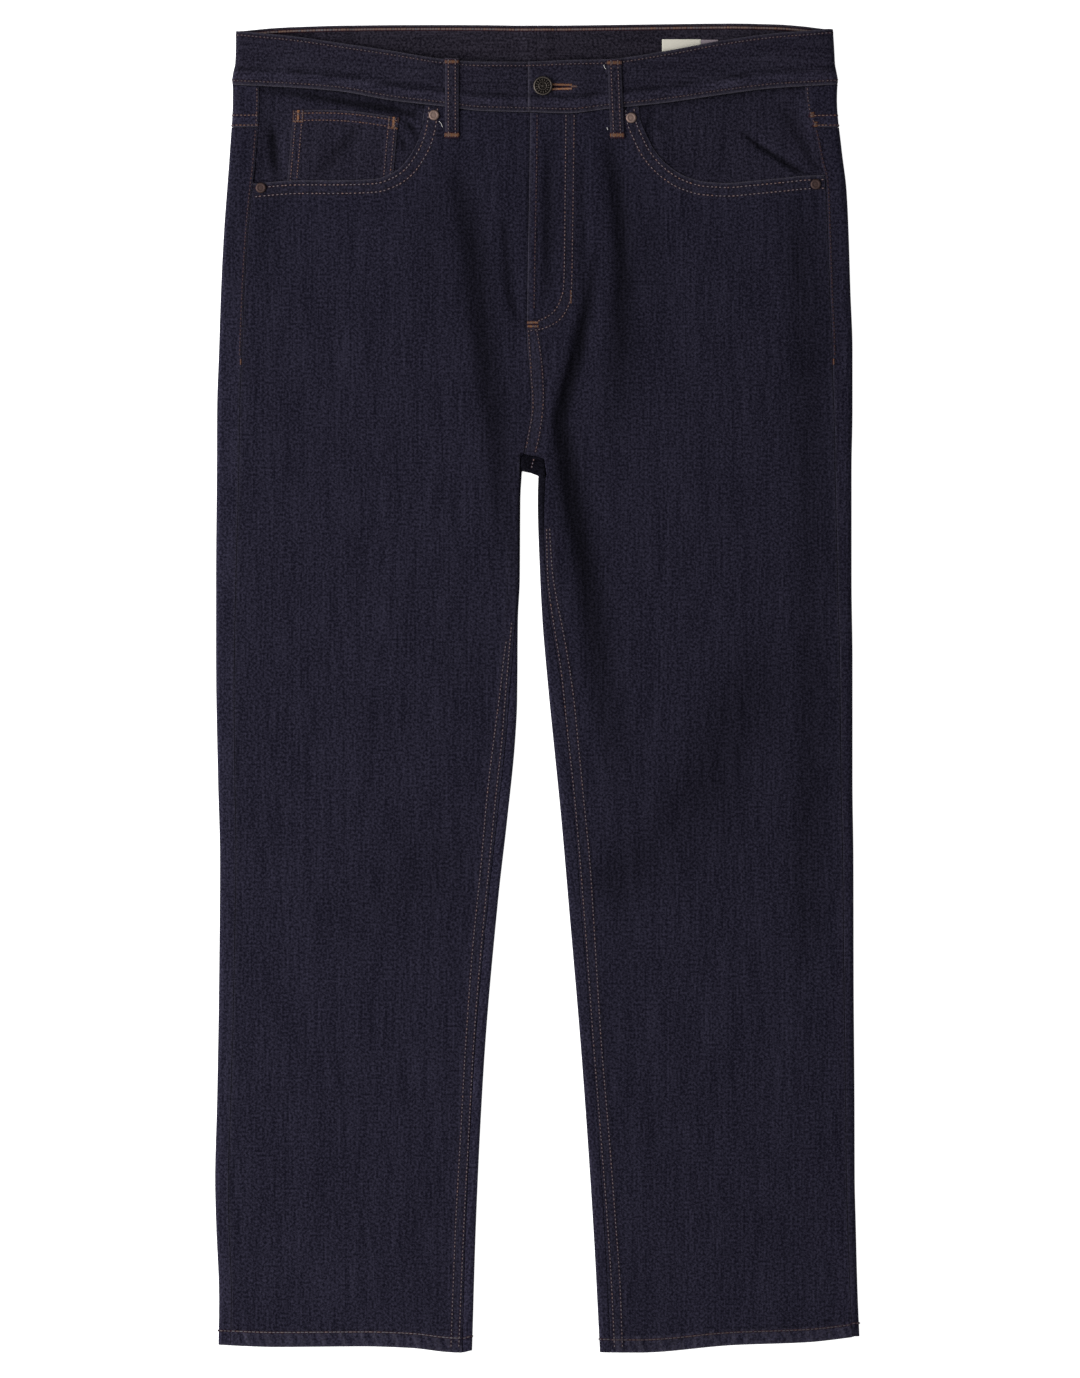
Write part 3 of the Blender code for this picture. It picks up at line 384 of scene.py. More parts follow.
def gapDistance(side, x, y):
    # how far the open gap between the legs is
    (cx, cy), (mx, my) = gapCorner[side], gapMiddle[side]
    along = np.clip((x - cx) / (mx - cx), 0, 1)
    away = np.hypot(mix(cx, mx, along) - x, mix(cy, my, along) - y)
    return np.where(y <= cy, (innerEdge(side, y) - x) * inward[side], away)


def behindHeight(x, y):
    return foldDepth(*np.broadcast_arrays(x, y), behindRows, 1.3)


def underHeight(x, y):
    # the underside, lifted over the back pockets
    half = backPocket["wide"] / 2 + 1.5
    top, foot = backPocket["top"] + 1.5, backPocket["top"] - backPocket["point"] - 1.5
    across = window(np.abs(x), backPocket["x"] - half, backPocket["x"] + half, 6.5)
    return (cloth["pocketing"] + cloth["seam"]) * across * window(y, foot, top, 6.5)


def overLoops(x, y):
    # the waistband and the yokes pass over the loops behind
    away = np.min([np.abs(x - at) for at in backLoops.values()], axis=0)
    return 1.5 * (1 - ease((away - 8.5) / 7.5)) * ease((y - 489.0) / 6.0)


def spread(count, tight=0.75):
    # shares from 0 to 1, closer together at both ends
    t = np.linspace(0, 1, count)
    return t - tight * np.sin(2 * math.pi * t) / (2 * math.pi)


# y of each row of points on a leg and above it, closer together at the turned hem
hemRows = [-560, -559.2, -557.5, -554.5, -551.5, -549, -548, -547, -545.5]
legTop = 178.0
legRows = np.concatenate([hemRows, np.arange(-543, legTop, 3.6), [legTop]])
hipRows = np.concatenate([np.arange(200, 446, 3.5), [446]])
rollAngles = np.radians(np.linspace(90, -90, 13))
frontColumns = 96
wrapColumns = 7  # from the side seam to the roll
underCount = 50  # columns across the underside
turnShares = np.linspace(0, 1, 15)
riseLow = 215.0  # y where the rise begins


def frontEdge(side, y):
    way = inward[side]
    leg = innerEdge(side, y) - way * (inseamIn(side, y) + cloth["seam"] / 2)
    rise = curve(centre, 1, y) + cloth["seam"] / 2
    if side == "right":
        lap = flyLap["wide"] * ease((y - flyEnd[1]) / (flyEnd[2] - flyEnd[1]))
        rise = curve(centre, 1, y) - cloth["seam"] / 2 + lap
    knots = np.array([legTop, *crotchRows, riseLow])
    legX = float(innerEdge(side, legTop) - way * (inseamIn(side, legTop) + cloth["seam"] / 2))
    riseX = float(curve(centre, 1, riseLow)) + (-1 if side == "right" else 1) * cloth["seam"] / 2
    xs = [legX] + [p[0] for p in crotchEdge[side]] + [riseX]
    ys = [legTop] + [p[1] for p in crotchEdge[side]] + [riseLow]
    x = np.where(y <= legTop, leg, np.where(y >= riseLow, rise, np.interp(y, knots, xs)))
    return x, np.where((y <= legTop) | (y >= riseLow), y, np.interp(y, knots, ys))


def frontPlan(side):
    way, corner = inward[side], mouths[side][0][0]
    shares = spread(frontColumns)
    shares[np.abs(shares - corner).argmin()] = corner
    hips = np.concatenate([[183.5, 187.7, 192.0, 196], np.arange(200, 414, 3.5), [415.0]])
    y = np.concatenate([legRows, hips])[:, None]
    startX, startY = frontEdge(side, y)
    end = sideSeam(side, y) + way * cloth["seam"] / 2
    x, y = mix(startX, end, shares), mix(y, startY, (1 - shares) ** 12)
    topStart = frontEdge(side, waist(0.0, frontLow))[0]
    topX = mix(topStart, mouths[side][0][1], shares / corner)
    topY = waist(topX, frontLow) - cloth["seam"]
    onMouth = shares >= corner
    topX = np.where(onMouth, curve(mouths[side], 1, shares), topX)
    topY = np.where(onMouth, curve(mouths[side], 2, shares), topY)
    topX[-1] = sideSeam(side, topY[-1]) + way * cloth["seam"]
    steps = np.linspace(0, 1, 24)[1:, None]
    x = np.vstack([x, mix(x[-1], topX, steps)])
    return x, np.vstack([y, mix(y[-1], topY, steps)])


def pointsOf(x, y, z):
    return np.stack(np.broadcast_arrays(x, y, z), axis=-1).astype(float)


def frontRows(side):
    x, y = frontPlan(side)
    height = frontHeight(side, x, y) + sewnRelief("front_" + side, x, y) + frontLayers(side, x, y)[0]
    angle = np.arccos(np.clip((cloth["fold"] - gapDistance(side, x, y)) / cloth["fold"], 0, 1))
    return pointsOf(x, atHem(x, y), height / 2 * (1 + np.sin(angle)))


def sideWrap(side, ySeam, yOver=None, yUnder=None):
    # from the side seam out to the edge and round under it; one row for each y
    ySeam = np.asarray(ySeam, float)[:, None]
    yOver = ySeam if yOver is None else np.asarray(yOver, float)[:, None]
    yUnder = ySeam if yUnder is None else np.asarray(yUnder, float)[:, None]
    way = inward[side]
    seam = sideSeam(side, ySeam) - way * cloth["seam"] / 2
    y = mix(yUnder, yOver, (1 + np.sin(rollAngles)) / 2)
    edge = outerEdge(side, y)
    x = edge + way * cloth["fold"] * (1 - np.cos(rollAngles))
    height = curve(heights, 1, yOver)
    rolled = pointsOf(x, atHem(edge, y), height / 2 * (1 + np.sin(rollAngles)))
    t = np.linspace(0, 1, wrapColumns)[None, :-1, None]
    start = pointsOf(seam, atHem(seam, ySeam), curve(heights, 1, ySeam))
    return np.concatenate([mix(start, rolled[:, :1], t), rolled], axis=1)


def legTurn(side, y):
    # from the inner edge's roll up to the inseam
    y = y[:, None]
    way, fold = inward[side], cloth["fold"]
    inset = inseamIn(side, y) - cloth["seam"] / 2
    edge = innerEdge(side, y)
    height = frontHeight(side, edge - way * fold, y)
    share = np.clip(1 - (inset - fold) / fold * 0.2, 0.8, 1)
    last = np.arccos(np.clip((fold - inset) / fold, 0, 1))
    full = -math.pi / 2 + math.pi * np.minimum(turnShares / share, 1)
    angle = np.where(inset <= fold, mix(-math.pi / 2, last, turnShares), full)
    beyond = np.where(inset > fold, np.maximum(turnShares - share, 0) / np.maximum(1 - share, 1e-6), 0)
    x = edge - way * (fold * (1 - np.cos(angle)) + beyond * (inset - fold))
    return pointsOf(x, atHem(x, y), height / 2 * (1 + np.sin(angle)))


def crotchTurn(edge, toward, seam):
    angles = np.radians(np.linspace(-90, 90, len(turnShares) - 1))
    back = cloth["fold"] * (1 - np.cos(angles))
    z = crotchHeight / 2 * (1 + np.sin(angles))
    roll = pointsOf(edge[0] - toward[0] * back, edge[1] - toward[1] * back, z)
    return np.vstack([roll, [(*seam, crotchHeight)]])


def backRows(side):
    way, under = inward[side], (np.arange(underCount) + 1) / underCount
    legShares = (np.arange(underCount) + 1) / (underCount + 1)
    wrap, turn = sideWrap(side, legRows), legTurn(side, legRows)
    x = mix(wrap[:, -1:, 0], turn[:, :1, 0], legShares)
    y = legRows[:, None]
    behind = pointsOf(x, atHem(x, y), behindHeight(x, y))
    rows = [np.concatenate([wrap, behind, turn], axis=1)]
    for at, edge, toward, seam, lift, shares in (
        (184.0, gapCorner[side], cornerToward[side], backCorner[side], 7.0, legShares),
        (191.0, gapMiddle[side], (0, -1), backCrotch[side], 2.0, under),
    ):
        wrap, turn = sideWrap(side, [at])[0], crotchTurn(edge, toward, seam)
        x = mix(wrap[-1, 0], turn[0, 0], shares)
        y = at + lift * shares**2
        row = np.vstack([wrap, pointsOf(x, y, behindHeight(x, y)), turn])
        last = rows[-1][-1]
        rows.append(np.stack([mix(last, row, t) for t in (0.25, 0.5, 0.75, 1)]))
    for y in (hipRows[:, None], None):
        if y is None:  # the last rows, up to the yoke seam
            t = np.linspace(0, 1, 8)[1:]
            atSide = mix(hipRows[-1], yokeLine[0] - cloth["seam"] / 2, t)
            wrap = sideWrap(side, atSide)
            endX = curve(centre, 2, yokeLine[1]) - way * cloth["seam"] / 2
            x = mix(wrap[:, -1:, 0], endX, under)
            y = mix(hipRows[-1], yokeSeam(side, x) - cloth["seam"] / 2, t[:, None])
        else:
            wrap = sideWrap(side, hipRows)
            gap = 0.01 + cloth["seam"] / 2 * ease((y - 199) / 12)
            x = mix(wrap[:, -1:, 0], curve(centre, 2, y) - way * gap, under)
        behind = underHeight(x, y) + behindHeight(x, y)
        narrow = np.concatenate([wrap, pointsOf(x, y, behind)], axis=1)
        blank = np.full((len(narrow), len(turnShares), 3), np.nan)
        rows.append(np.concatenate([narrow, blank], axis=1))
    return np.vstack(rows)


def behindColumns(side, count):
    # x of the columns behind, from the side to the centre back
    return np.linspace(228.0, 0.02, count) * -inward[side]


def yokeRows(side):
    shares = spread(15, 0.4)
    low = yokeLine[0] + cloth["seam"] / 2
    edge = float(outerEdge(side, low))
    seam = float(sideSeam(side, 512.0))
    ends = (waist(seam, frontLow), waist(edge, frontLow), waist(edge, backLow))
    wrap = sideWrap(side, *[mix(low, end - cloth["seam"], shares) for end in ends])
    x = behindColumns(side, 80)[None, :]
    lowY, highY = yokeSeam(side, x) + cloth["seam"] / 2, waist(x, backLow) - cloth["seam"]
    y = mix(lowY, highY, shares[:, None])
    return np.concatenate([wrap, pointsOf(x, y, overLoops(x, y))], axis=1)


def bandHeight(side, x):
    if side == "right":
        return bandTop[side] - bandTop["underDip"] * ease((x + 27) / 15)
    return bandTop[side] + bandTop["overLift"] * (1 - ease((x - bandTop["underEnd"]) / 14))


def bandRows(side):
    way = inward[side]
    shares = np.concatenate([[0, 0.012, 0.03], np.linspace(0.055, 0.945, 31), [0.97, 0.988, 1]])[:, None]
    start = bandTop["underEnd"] if side == "right" else float(curve(centre, 1, 532.0)) + cloth["seam"] / 2
    x = np.linspace(start, -way * 232.0, 92)[None, :]
    y = mix(waist(x, frontLow), waist(x, frontHigh), shares)
    front = pointsOf(x, y, bandHeight(side, x) + bandRelief(side, x, shares))
    low = waistEdges[0] if side == "right" else waistEdges[-1]
    blend = (1 + np.sin(rollAngles)) / 2
    y = mix(mix(low[3], low[4], shares), mix(low[1], low[2], shares), blend)
    x = outerEdge(side, y) + way * cloth["bandFold"] * (1 - np.cos(rollAngles))
    rolled = pointsOf(x, y, bandTop[side] * blend)
    x = behindColumns(side, 84)[None, :]
    y = mix(waist(x, backLow), waist(x, backHigh), shares)
    return np.concatenate([front, rolled, pointsOf(x, y, overLoops(x, y))], axis=1)


def facingHeight(side, x, y):
    seam = sideSeam(side, y)
    nearSide = np.where(np.abs(x) < np.abs(seam), ease(1 - np.abs(x - seam) / 15), 1)
    nearBand = ease(1 - (waist(x, frontLow) - y) / 12)
    clear = ease((np.abs(np.abs(x) - np.abs(seam)) - 1) / -7 + 1) * ease((y - 441) / 8)
    away = nearLine(x, y, mouthLine(side), 30.0)[0]
    lift, reach = facing["mouth"][side]
    nearMouth = lift * np.exp(-((away / reach) ** 2))
    raised = np.maximum(facing["rise"] * np.maximum(nearSide, nearBand), nearMouth)
    return facing["level"] + raised + 0.75 * clear * nearSide


def facingRows(side):
    way = inward[side]
    rows, steps = spread(84, 0.2)[:, None], spread(136, 0.2)
    y = mix(facing["foot"], waist(-200.0 * way, frontLow), rows)
    x = mix(facing["inner"][side], sideSeam(side, y) - way * 5, steps)
    y = mix(facing["foot"], waist(x, frontLow) + 4, rows)
    crease = foldDepth(x, y, facingFolds[side], 1.3) - foldDepth(x, y, facingRidges[side], 1.0)
    return pointsOf(x, y, facingHeight(side, x, y) - crease)


def coinRows():
    rows, steps = spread(50, 0.4)[:, None], spread(60, 0.4)
    (ax, ay), (bx, by) = coinCorners["foot"]
    (cx, cy), (dx, dy) = coinCorners["top"]
    x = mix(mix(ax, cx, rows), mix(bx, dx, rows), steps)
    y = mix(mix(ay, cy, rows), mix(by, dy, rows), steps) + 3.0 * np.sin(math.pi * steps) * rows**3
    crease = foldDepth(x, y, facingFolds["right"], 1.3) - foldDepth(x, y, facingRidges["right"], 1.0)
    z = facingHeight("right", x, y) + 0.15 + cloth["coin"] - crease
    return pointsOf(x, y, z + sewnRelief("coin_pocket", x, y))


# creases in the facings: x, y, half width, depth
facingFolds = {
    "left": (
        ((172, 473, 2.0, 0.1), (178, 468.5, 2.1, 0.9), (190, 459, 2.1, 1.4), (207, 448.2, 2.4, 1.4),
         (220, 439.7, 2.7, 1.2), (228.7, 436.5, 2.7, 0.3)),
        ((206, 497, 6, 0.1), (210, 489, 5, 0.5), (218, 474, 5, 0.6), (229, 457, 4.5, 0.65),
         (239, 440, 4, 0.3)),
        ((98, 489, 2.5, 0.2), (94.5, 480, 2.6, 0.7), (96, 468, 3, 0.3)),
        ((99, 481, 2.5, 0.1), (105, 477, 2.6, 0.5), (112, 473, 3, 0.1)),
    ),
    "right": (
        ((-232, 507, 3, 0.3), (-200, 503.5, 3.2, 0.8), (-165, 498, 3.4, 1.1), (-131, 492.5, 3.2, 1.3),
         (-105, 487.5, 3, 0.9)),
        ((-226, 480, 4, 0.3), (-225, 468, 4, 1.2), (-223, 446, 4, 1.1), (-221, 434, 4, 0.3)),
        ((-150, 477, 5, 0.1), (-156, 471, 5, 0.5), (-171, 454, 5, 0.6), (-186, 437, 5, 0.3)),
        ((-113, 483, 2.6, 0.4), (-107, 476, 2.6, 1.2), (-101, 468, 2.4, 0.4)),
        ((-118, 470, 2.6, 0.1), (-113, 462, 2.6, 0.9), (-112, 452, 3, 0.2)),
    ),
}
facingRidges = {
    "left": (
        ((176, 478, 5, 0.1), (190, 467, 5, 0.5), (208, 455, 5, 0.5), (222, 446, 4, 0.2)),
        ((228, 500, 6, 0.1), (231, 487, 6, 0.5), (236, 470, 5, 0.2)),
        ((103, 486, 3, 0.1), (101, 474, 3, 0.5), (107, 462, 4, 0.1)),
    ),
    "right": (
        ((-218, 476, 4, 0.1), (-215, 462, 4, 0.5), (-214, 444, 4, 0.2)),
        ((-134, 476, 7, 0.1), (-146, 462, 7, 0.4), (-158, 446, 7, 0.1)),
        ((-104, 482, 2.6, 0.2), (-99.5, 475, 2.6, 0.4)),
    ),
}


def backPocketRows(side):
    rows, steps = spread(54, 0.5)[:, None], np.linspace(-1, 1, 57)
    deep = backPocket["side"] + (backPocket["point"] - backPocket["side"]) * (1 - np.abs(steps))
    half = mix(backPocket["wide"], backPocket["narrow"], (1 - rows) * deep / backPocket["side"]) / 2
    half = np.maximum(half, backPocket["narrow"] / 2)
    x = -inward[side] * backPocket["x"] + steps * half
    return pointsOf(x, backPocket["top"] - (1 - rows) * deep, 0)


def frontLoopRows(side):
    xTop, xFoot, yTop, yFoot = frontLoops[side]
    y = np.linspace(yFoot, yTop, 56)[:, None]
    across = np.linspace(-0.5, 0.5, 15) * loopWide
    x = mix(xFoot, xTop, (y - yFoot) / (yTop - yFoot)) + across
    bandEdge = float(waist(xTop, frontLow))
    low = np.max([frontHeight(side, x[:, k : k + 1], y) for k in (0, 7, 14)], axis=0)
    over = ease((y - bandEdge + 6) / 5.5)
    arch = 0.35 * np.sin(math.pi * (y - yFoot) / (yTop - yFoot))
    dome = 0.45 * (1 - (2 * across / loopWide) ** 4)
    return pointsOf(x, y, mix(low, bandTop["left"], over) + cloth["seam"] + cloth["loop"] + arch + dome)


def backLoopRows(name):
    x = backLoops[name] + np.linspace(-0.5, 0.5, 11) * loopWide
    top = float(waist(backLoops[name], backHigh)) - 1
    y = np.linspace(top - backLoopLength, top, 40)[:, None]
    return pointsOf(x[None, :], y, 0)


sewn = {}  # piece: list of (line, options)


def sew(piece, line, **options):
    sewn.setdefault(piece, []).append((np.array(line, float), options))


# y, outer row, inner row
inseamRows = {
    "right": (
        (-560, -66.5, -73.2), (-452, -62.0, -69.0), (-388, -58.6, -65.4), (-299, -53.7, -60.4),
        (-220, -47.4, -54.6), (-146, -40.3, -47.2), (-95, -35.4, -42.8), (-44, -29.9, -36.8),
        (-6, -26.9, -31.8), (33, -23.6, -27.2), (58, -21.3, -23.2),
    ),
    "left": (
        (-560, 65.7, 72.4), (-503, 63.0, 70.2), (-452, 59.6, 66.5), (-388, 54.7, 61.7), (-300, 47.8, 54.4),
        (-248, 44.1, 51.1), (-197, 40.4, 48.0), (-146, 36.4, 44.6), (-95, 32.0, 39.6), (-45, 26.7, 34.7),
        (-15, 23.6, 31.8), (14, 20.5, 27.9), (43, 15.9, 23.0), (82, 10.2, 15.4), (98, 8.9, 13.0),
        (123, 8.2, 11.2), (140, 8.0, 10.4),
    ),
}
crotchSeamRows = (
    ((-7.4, 304.3), (-4.9, 266.0), (-3.5, 244.8), (-4.2, 231.2), (-8.1, 210.0), (-9.6, 203.4)),
    ((-0.4, 304.6), (3.4, 280.5), (5.2, 256.0), (4.9, 238.0), (2.2, 216.8), (-1.6, 199.5)),
)
frontSew = {
    "inseam": {"pucker": 0.1, "wide": 4, "wave": 11, "tone": 0.0, "bright": 0.68, "pitch": 3.35},
    "inseamSeeds": {1: 0.3, 2: 1.9},
    "shorter": 14,  # how much sooner the right leg's inner row ends
    "hem": {"pucker": 0.06, "tone": 0.0, "pitch": 3.4, "long": 5.8},
    "hemBright": {"right": 0.66, "left": 0.38},
    "hemUp": {"right": 12.4, "left": 10.9},
    "mouth": {"pucker": 0.14, "wide": 4, "wave": 9, "tone": 0.12, "bright": 0.85, "pitch": 3.6},
    "mouthInsets": (3.9, 11.2),
    "fly": {"wide": 4, "wave": 12, "tone": 0.15, "bright": 0.66, "pitch": 3.27},
    "edge": {"pucker": 0.12, "wide": 4, "wave": 14, "tone": 0.05, "bright": 0.32, "pitch": 3.26},
    "edgeIn": 6.1,
    "crotch": {"pucker": 0.12, "wide": 3, "wave": 9, "tone": 0.1, "bright": 0.52, "pitch": 3.3},
}


def planFront(side):
    name, way, look = "front_" + side, inward[side], frontSew
    top = inseamRows[side][-1][0]
    for row, seed in look["inseamSeeds"].items():
        y = np.arange(-560, top - (look["shorter"] if row == 2 and side == "right" else 0), 4.0)
        line = np.stack([curve(inseamRows[side], row, y), y], axis=1)
        sew(name, line, seed=seed, **look["inseam"])
    start = innerEdge(side, hemLine) - way * (inseamIn(side, hemLine) + 0.6)
    x = mix(start, sideSeam(side, hemLine) + way * 0.6, np.linspace(0, 1, 60))
    y = curve(hemEdge, 1, x) + look["hemUp"][side]
    sew(name, np.stack([x, y], axis=1), bright=look["hemBright"][side], **look["hem"])
    shares = np.linspace(mouths[side][0][0], 1, 60)
    mouth = np.stack([curve(mouths[side], 1, shares), curve(mouths[side], 2, shares)], axis=1)
    mouth = smoothLine(mouth, 1.0)
    for inset in look["mouthInsets"]:
        line = sideways(mouth, inset * way)
        belowBand = line[:, 1] < waist(line[:, 0], frontLow) - 1.0
        inSeam = np.abs(line[:, 0]) < np.abs(sideSeam(side, line[:, 1])) - 0.8
        sew(name, line[belowBand & inSeam], seed=inset, **look["mouth"])


def planFly():
    name, look = "front_left", frontSew
    y = np.arange(322.0, 488.0, 3.0)
    sew(name, np.stack([curve(centre, 1, y) + look["edgeIn"], y], axis=1), seed=0.7, **look["edge"])
    sew(name, smoothLine(flyCurve), seed=2.6, pucker=0.12, **look["fly"])
    sew(name, smoothLine(flyCurveOuter), seed=0.2, pucker=0.14, **look["fly"])
    for line in crotchSeamRows:
        sew(name, smoothLine(line), seed=line[0][0], **look["crotch"])


for side in sides:
    planFront(side)
planFly()
print("sewing lines planned")


def sewnRelief(piece, x, y):
    # the rows pull the cloth down, and bunch it between them
    total = np.zeros(x.shape)
    for line, options in sewn.get(piece, []):
        wide, deep = options.get("wide", 4.0), options["pucker"]
        away, along = nearLine(x, y, line, 3 * wide)
        bunch = ripple(along, options.get("wave", 10.0), options.get("seed", 0.0))
        bunch = bunch * np.exp(-((away / wide) ** 2))
        total += deep * (1.3 * bunch - np.exp(-((away / 1.5) ** 2)))
    return total


def insideFly(x, y):
    # how far inside the fly's outer row a point is, 0 outside
    line = smoothLine(flyCurveOuter, 2.0)
    away, _ = nearLine(x, y, line, 30.0)
    down = line[::-1]
    inside = (x < np.interp(y, down[:, 1], down[:, 0])) & (y > np.interp(x, down[:, 0], down[:, 1]))
    return np.where(inside & (y > 300), np.minimum(away, 30), 0)


def frontLayers(side, x, y):
    # how much higher turned and felled edges stand, how rubbed they are, and how much painted light they get
    away, _ = nearLine(x, y, mouthLine(side), 18.0)
    turned = 1 - ease((away - 12.3) / 1.4)
    seamAway = np.abs(x - frontEdge(side, y)[0])
    felled = (1 - ease((seamAway - 10.2) / 1.4)) * ease((150 - y) / 40)
    betweenSeams = window(seamAway, 1.6, 8.2, 1.8) * ease((90 - y) / 110)
    rise, rubbed = np.maximum(0.3 * turned, 0.32 * felled), np.maximum(0.04 * turned, 0.03 * felled)
    lit = (0.1 if side == "right" else 0.0) * betweenSeams
    if side == "left":
        edge = curve(centre, 1, y)
        strip = (1 - ease((x - edge - 10.6) / 1.4)) * window(y, 196.0, 302.0, 6.0)
        inFly = insideFly(x, y)
        band = ease(inFly / 1.2) * (1 - ease((inFly - 7.6) / 1.2))
        rise = rise + 0.34 * strip + 0.3 * ease(inFly / 1.4) + 0.12 * band
        rubbed = np.maximum(rubbed, np.maximum(0.06 * strip, 0.04 * band))
        # painted light on the strip just beside the fly's edge and on the felled strip
        besideEdge = window(x - edge, 0.8, 4.6, 1.2) * ease((y - 312) / 8)
        lit = np.maximum(lit, np.maximum(0.12 * strip * window(x - edge, 2.5, 8.5, 1.5), 0.2 * besideEdge))
    turnedHem = 1 - ease((y - hemLine - 12.6) / 1.2)
    roping = ripple(x + 0.35 * (y - hemLine), 9.0, 2.2)
    rubbed = np.maximum(rubbed, turnedHem * np.clip(0.06 + 0.16 * roping, 0, 1))
    # painted light on the ridges of the turned hem's roping
    lit = np.maximum(lit, turnedHem * np.clip(0.22 + 0.25 * roping, 0, 1))
    return rise + 0.35 * turnedHem * (1 + 0.55 * roping), rubbed, lit


bandSew = {
    "low": 3.6,  # how far each row is from its edge
    "high": 3.4,
    "groove": 0.16,
    "grooveWide": 1.2,
    "ridge": (5.2, 11.0),
    "seed": {"right": 2.3, "left": 5.1},
    "softSeed": {"right": 1.7, "left": 3.1},
}


def bandRelief(side, x, shares):
    tall = waist(x, frontHigh) - waist(x, frontLow)
    low, high = shares * tall, (1 - shares) * tall
    wide = bandSew["grooveWide"]
    grooves = np.exp(-(((low - bandSew["low"]) / wide) ** 2))
    grooves = grooves + np.exp(-(((high - bandSew["high"]) / wide) ** 2))
    ridge = window(low, *bandSew["ridge"], 2.2) * (0.48 + 0.14 * ripple(x, 36.0, bandSew["seed"][side]))
    waves = ridge + 0.16 * ripple(x, 13.0, 0.8) * (np.exp(-((low / 6) ** 2)) + np.exp(-((high / 6) ** 2)))
    soft = 0.22 * ripple(x + 6 * shares, 47.0, bandSew["softSeed"][side])
    return waves + soft - bandSew["groove"] * grooves


def lengthsAlong(rows, level=False):
    # running lengths along each row, or only as seen from one end when level
    steps = np.diff(rows, axis=1)
    step = np.hypot(steps[..., 0], steps[..., 2]) if level else np.linalg.norm(steps, axis=2)
    return np.concatenate([np.zeros((len(rows), 1)), np.cumsum(step, axis=1)], axis=1)


def flatMap(rows, start, way):
    # u out along each row from the column called start, v up the garment
    along = lengthsAlong(rows, True)
    u = rows[:, start, 0][:, None] + way * (along - along[:, start][:, None])
    return np.stack([u, rows[..., 1]], axis=-1) * mm


def measure(rows):
    # width, length and area of a sheet before it is bent, in metres
    wide = np.nanmax(lengthsAlong(rows)[:, ~np.isnan(rows[0, :, 0])])
    tall = np.nanmax(lengthsAlong(rows.transpose(1, 0, 2)))
    a, b = rows[1:, 1:] - rows[:-1, :-1], rows[1:, :-1] - rows[:-1, 1:]
    area = np.nansum(np.linalg.norm(np.cross(a, b), axis=2)) / 2
    wide, tall = round(wide * mm, 3), round(tall * mm, 3)
    return wide, tall, round(min(area * mm * mm, 0.995 * wide * tall), 6)


def feed(tree, socket, value):
    if isinstance(value, bpy.types.NodeSocket):
        tree.links.new(value, socket)
    else:
        socket.default_value = value


def addNode(tree, kind, settings, **values):
    made = tree.nodes.new("ShaderNode" + kind)
    for key, value in settings.items():
        setattr(made, key, value)
    for key, value in values.items():
        feed(tree, made.inputs[key], value)
    return made


def calc(tree, operation, *values, clamp=False):
    made = addNode(tree, "Math", {"operation": operation, "use_clamp": clamp})
    for socket, value in zip(made.inputs, values):
        feed(tree, socket, value)
    return made.outputs[0]


def weighted(tree, *terms):
    # the sum of sockets, each times its weight
    total = None
    for socket, weight in terms:
        part = calc(tree, "MULTIPLY", socket, weight)
        total = part if total is None else calc(tree, "ADD", total, part)
    return total


def readValue(tree, name):
    return addNode(tree, "Attribute", {"attribute_name": name}).outputs["Fac"]


def setValues(mesh, name, values):
    # one number for each point, which a material reads
    layer = mesh.attributes.new(name, "FLOAT", "POINT")
    layer.data.foreach_set("value", np.asarray(values).astype(np.float32))


def blendColours(tree, factor, a, b):
    made = tree.nodes.new("ShaderNodeMix")
    made.data_type = "RGBA"
    feed(tree, made.inputs[0], factor)
    feed(tree, made.inputs[6], a)
    feed(tree, made.inputs[7], b)
    return made.outputs[2]


def noiseAt(tree, vector, stretch, detail, rough):
    # noise whose grains are stretch across, in the vector's units
    scaled = addNode(tree, "Mapping", {}, Vector=vector, Scale=tuple(1 / s for s in stretch))
    settings = {"Vector": scaled.outputs[0], "Scale": 1.0, "Detail": detail, "Roughness": rough}
    return addNode(tree, "TexNoise", {}, **settings).outputs["Fac"]


def scaleColour(tree, colour, scale):
    scaled = addNode(tree, "VectorMath", {"operation": "SCALE"}, Scale=scale)
    feed(tree, scaled.inputs[0], colour)
    return scaled.outputs[0]


def uvMillimetres(tree):
    uv = addNode(tree, "UVMap", {"uv_map": "UVMap"}).outputs[0]
    return addNode(tree, "Mapping", {}, Vector=uv, Scale=(1 / mm, 1 / mm, 1 / mm)).outputs[0]


def newMaterial(name):
    material = bpy.data.materials.new(name)
    material.use_nodes = True
    return material, material.node_tree, material.node_tree.nodes["Principled BSDF"]


denimLook = {
    "dark": (0.0054, 0.0048, 0.0107, 1),
    "light": (0.0355, 0.0325, 0.0565, 1),
    "worn": (0.085, 0.078, 0.100, 1),
    "inside": (0.049, 0.0425, 0.062, 1),
    "insideDark": (0.0075, 0.0062, 0.0112, 1),
    "deepestShade": 0.3,  # how dark the painted shade at the bottom of a fold is
    "wale": (1.25, 1.9),  # between twill lines, across and along
    "wobble": 2.2,
    "yarn": 0.42,
    "fine": ((0.8, 0.9, 1), 2.0, 0.6),  # reach of each noise across and along, its detail and roughness
    "streak": ((1.9, 44.0, 1), 3.0, 0.6),
    "mottle": ((1.9, 2.0, 1), 2.0, 0.55),
    "slub": ((9.0, 120.0, 1), 2.0, 0.5),
    "cloud": ((38.0, 75.0, 1), 2.0, 0.5),
    "rub": ((2.2, 2.6, 1), 3.0, 0.7),
    "tones": (0.95, 2.5, 0.35, 0.2, 0.45),  # streak, mottle, slub, cloud, weave
    "level": 1.80,
    "relief": (0.55, 0.3, 0.7, 1.1),  # wale, yarn, streak, mottle
    "bump": 0.00022,
    "bumpShare": 0.75,
    "rough": 0.88,
    "shine": 0.04,
    "sheen": 0.01,
    "sheenRough": 0.5,
}


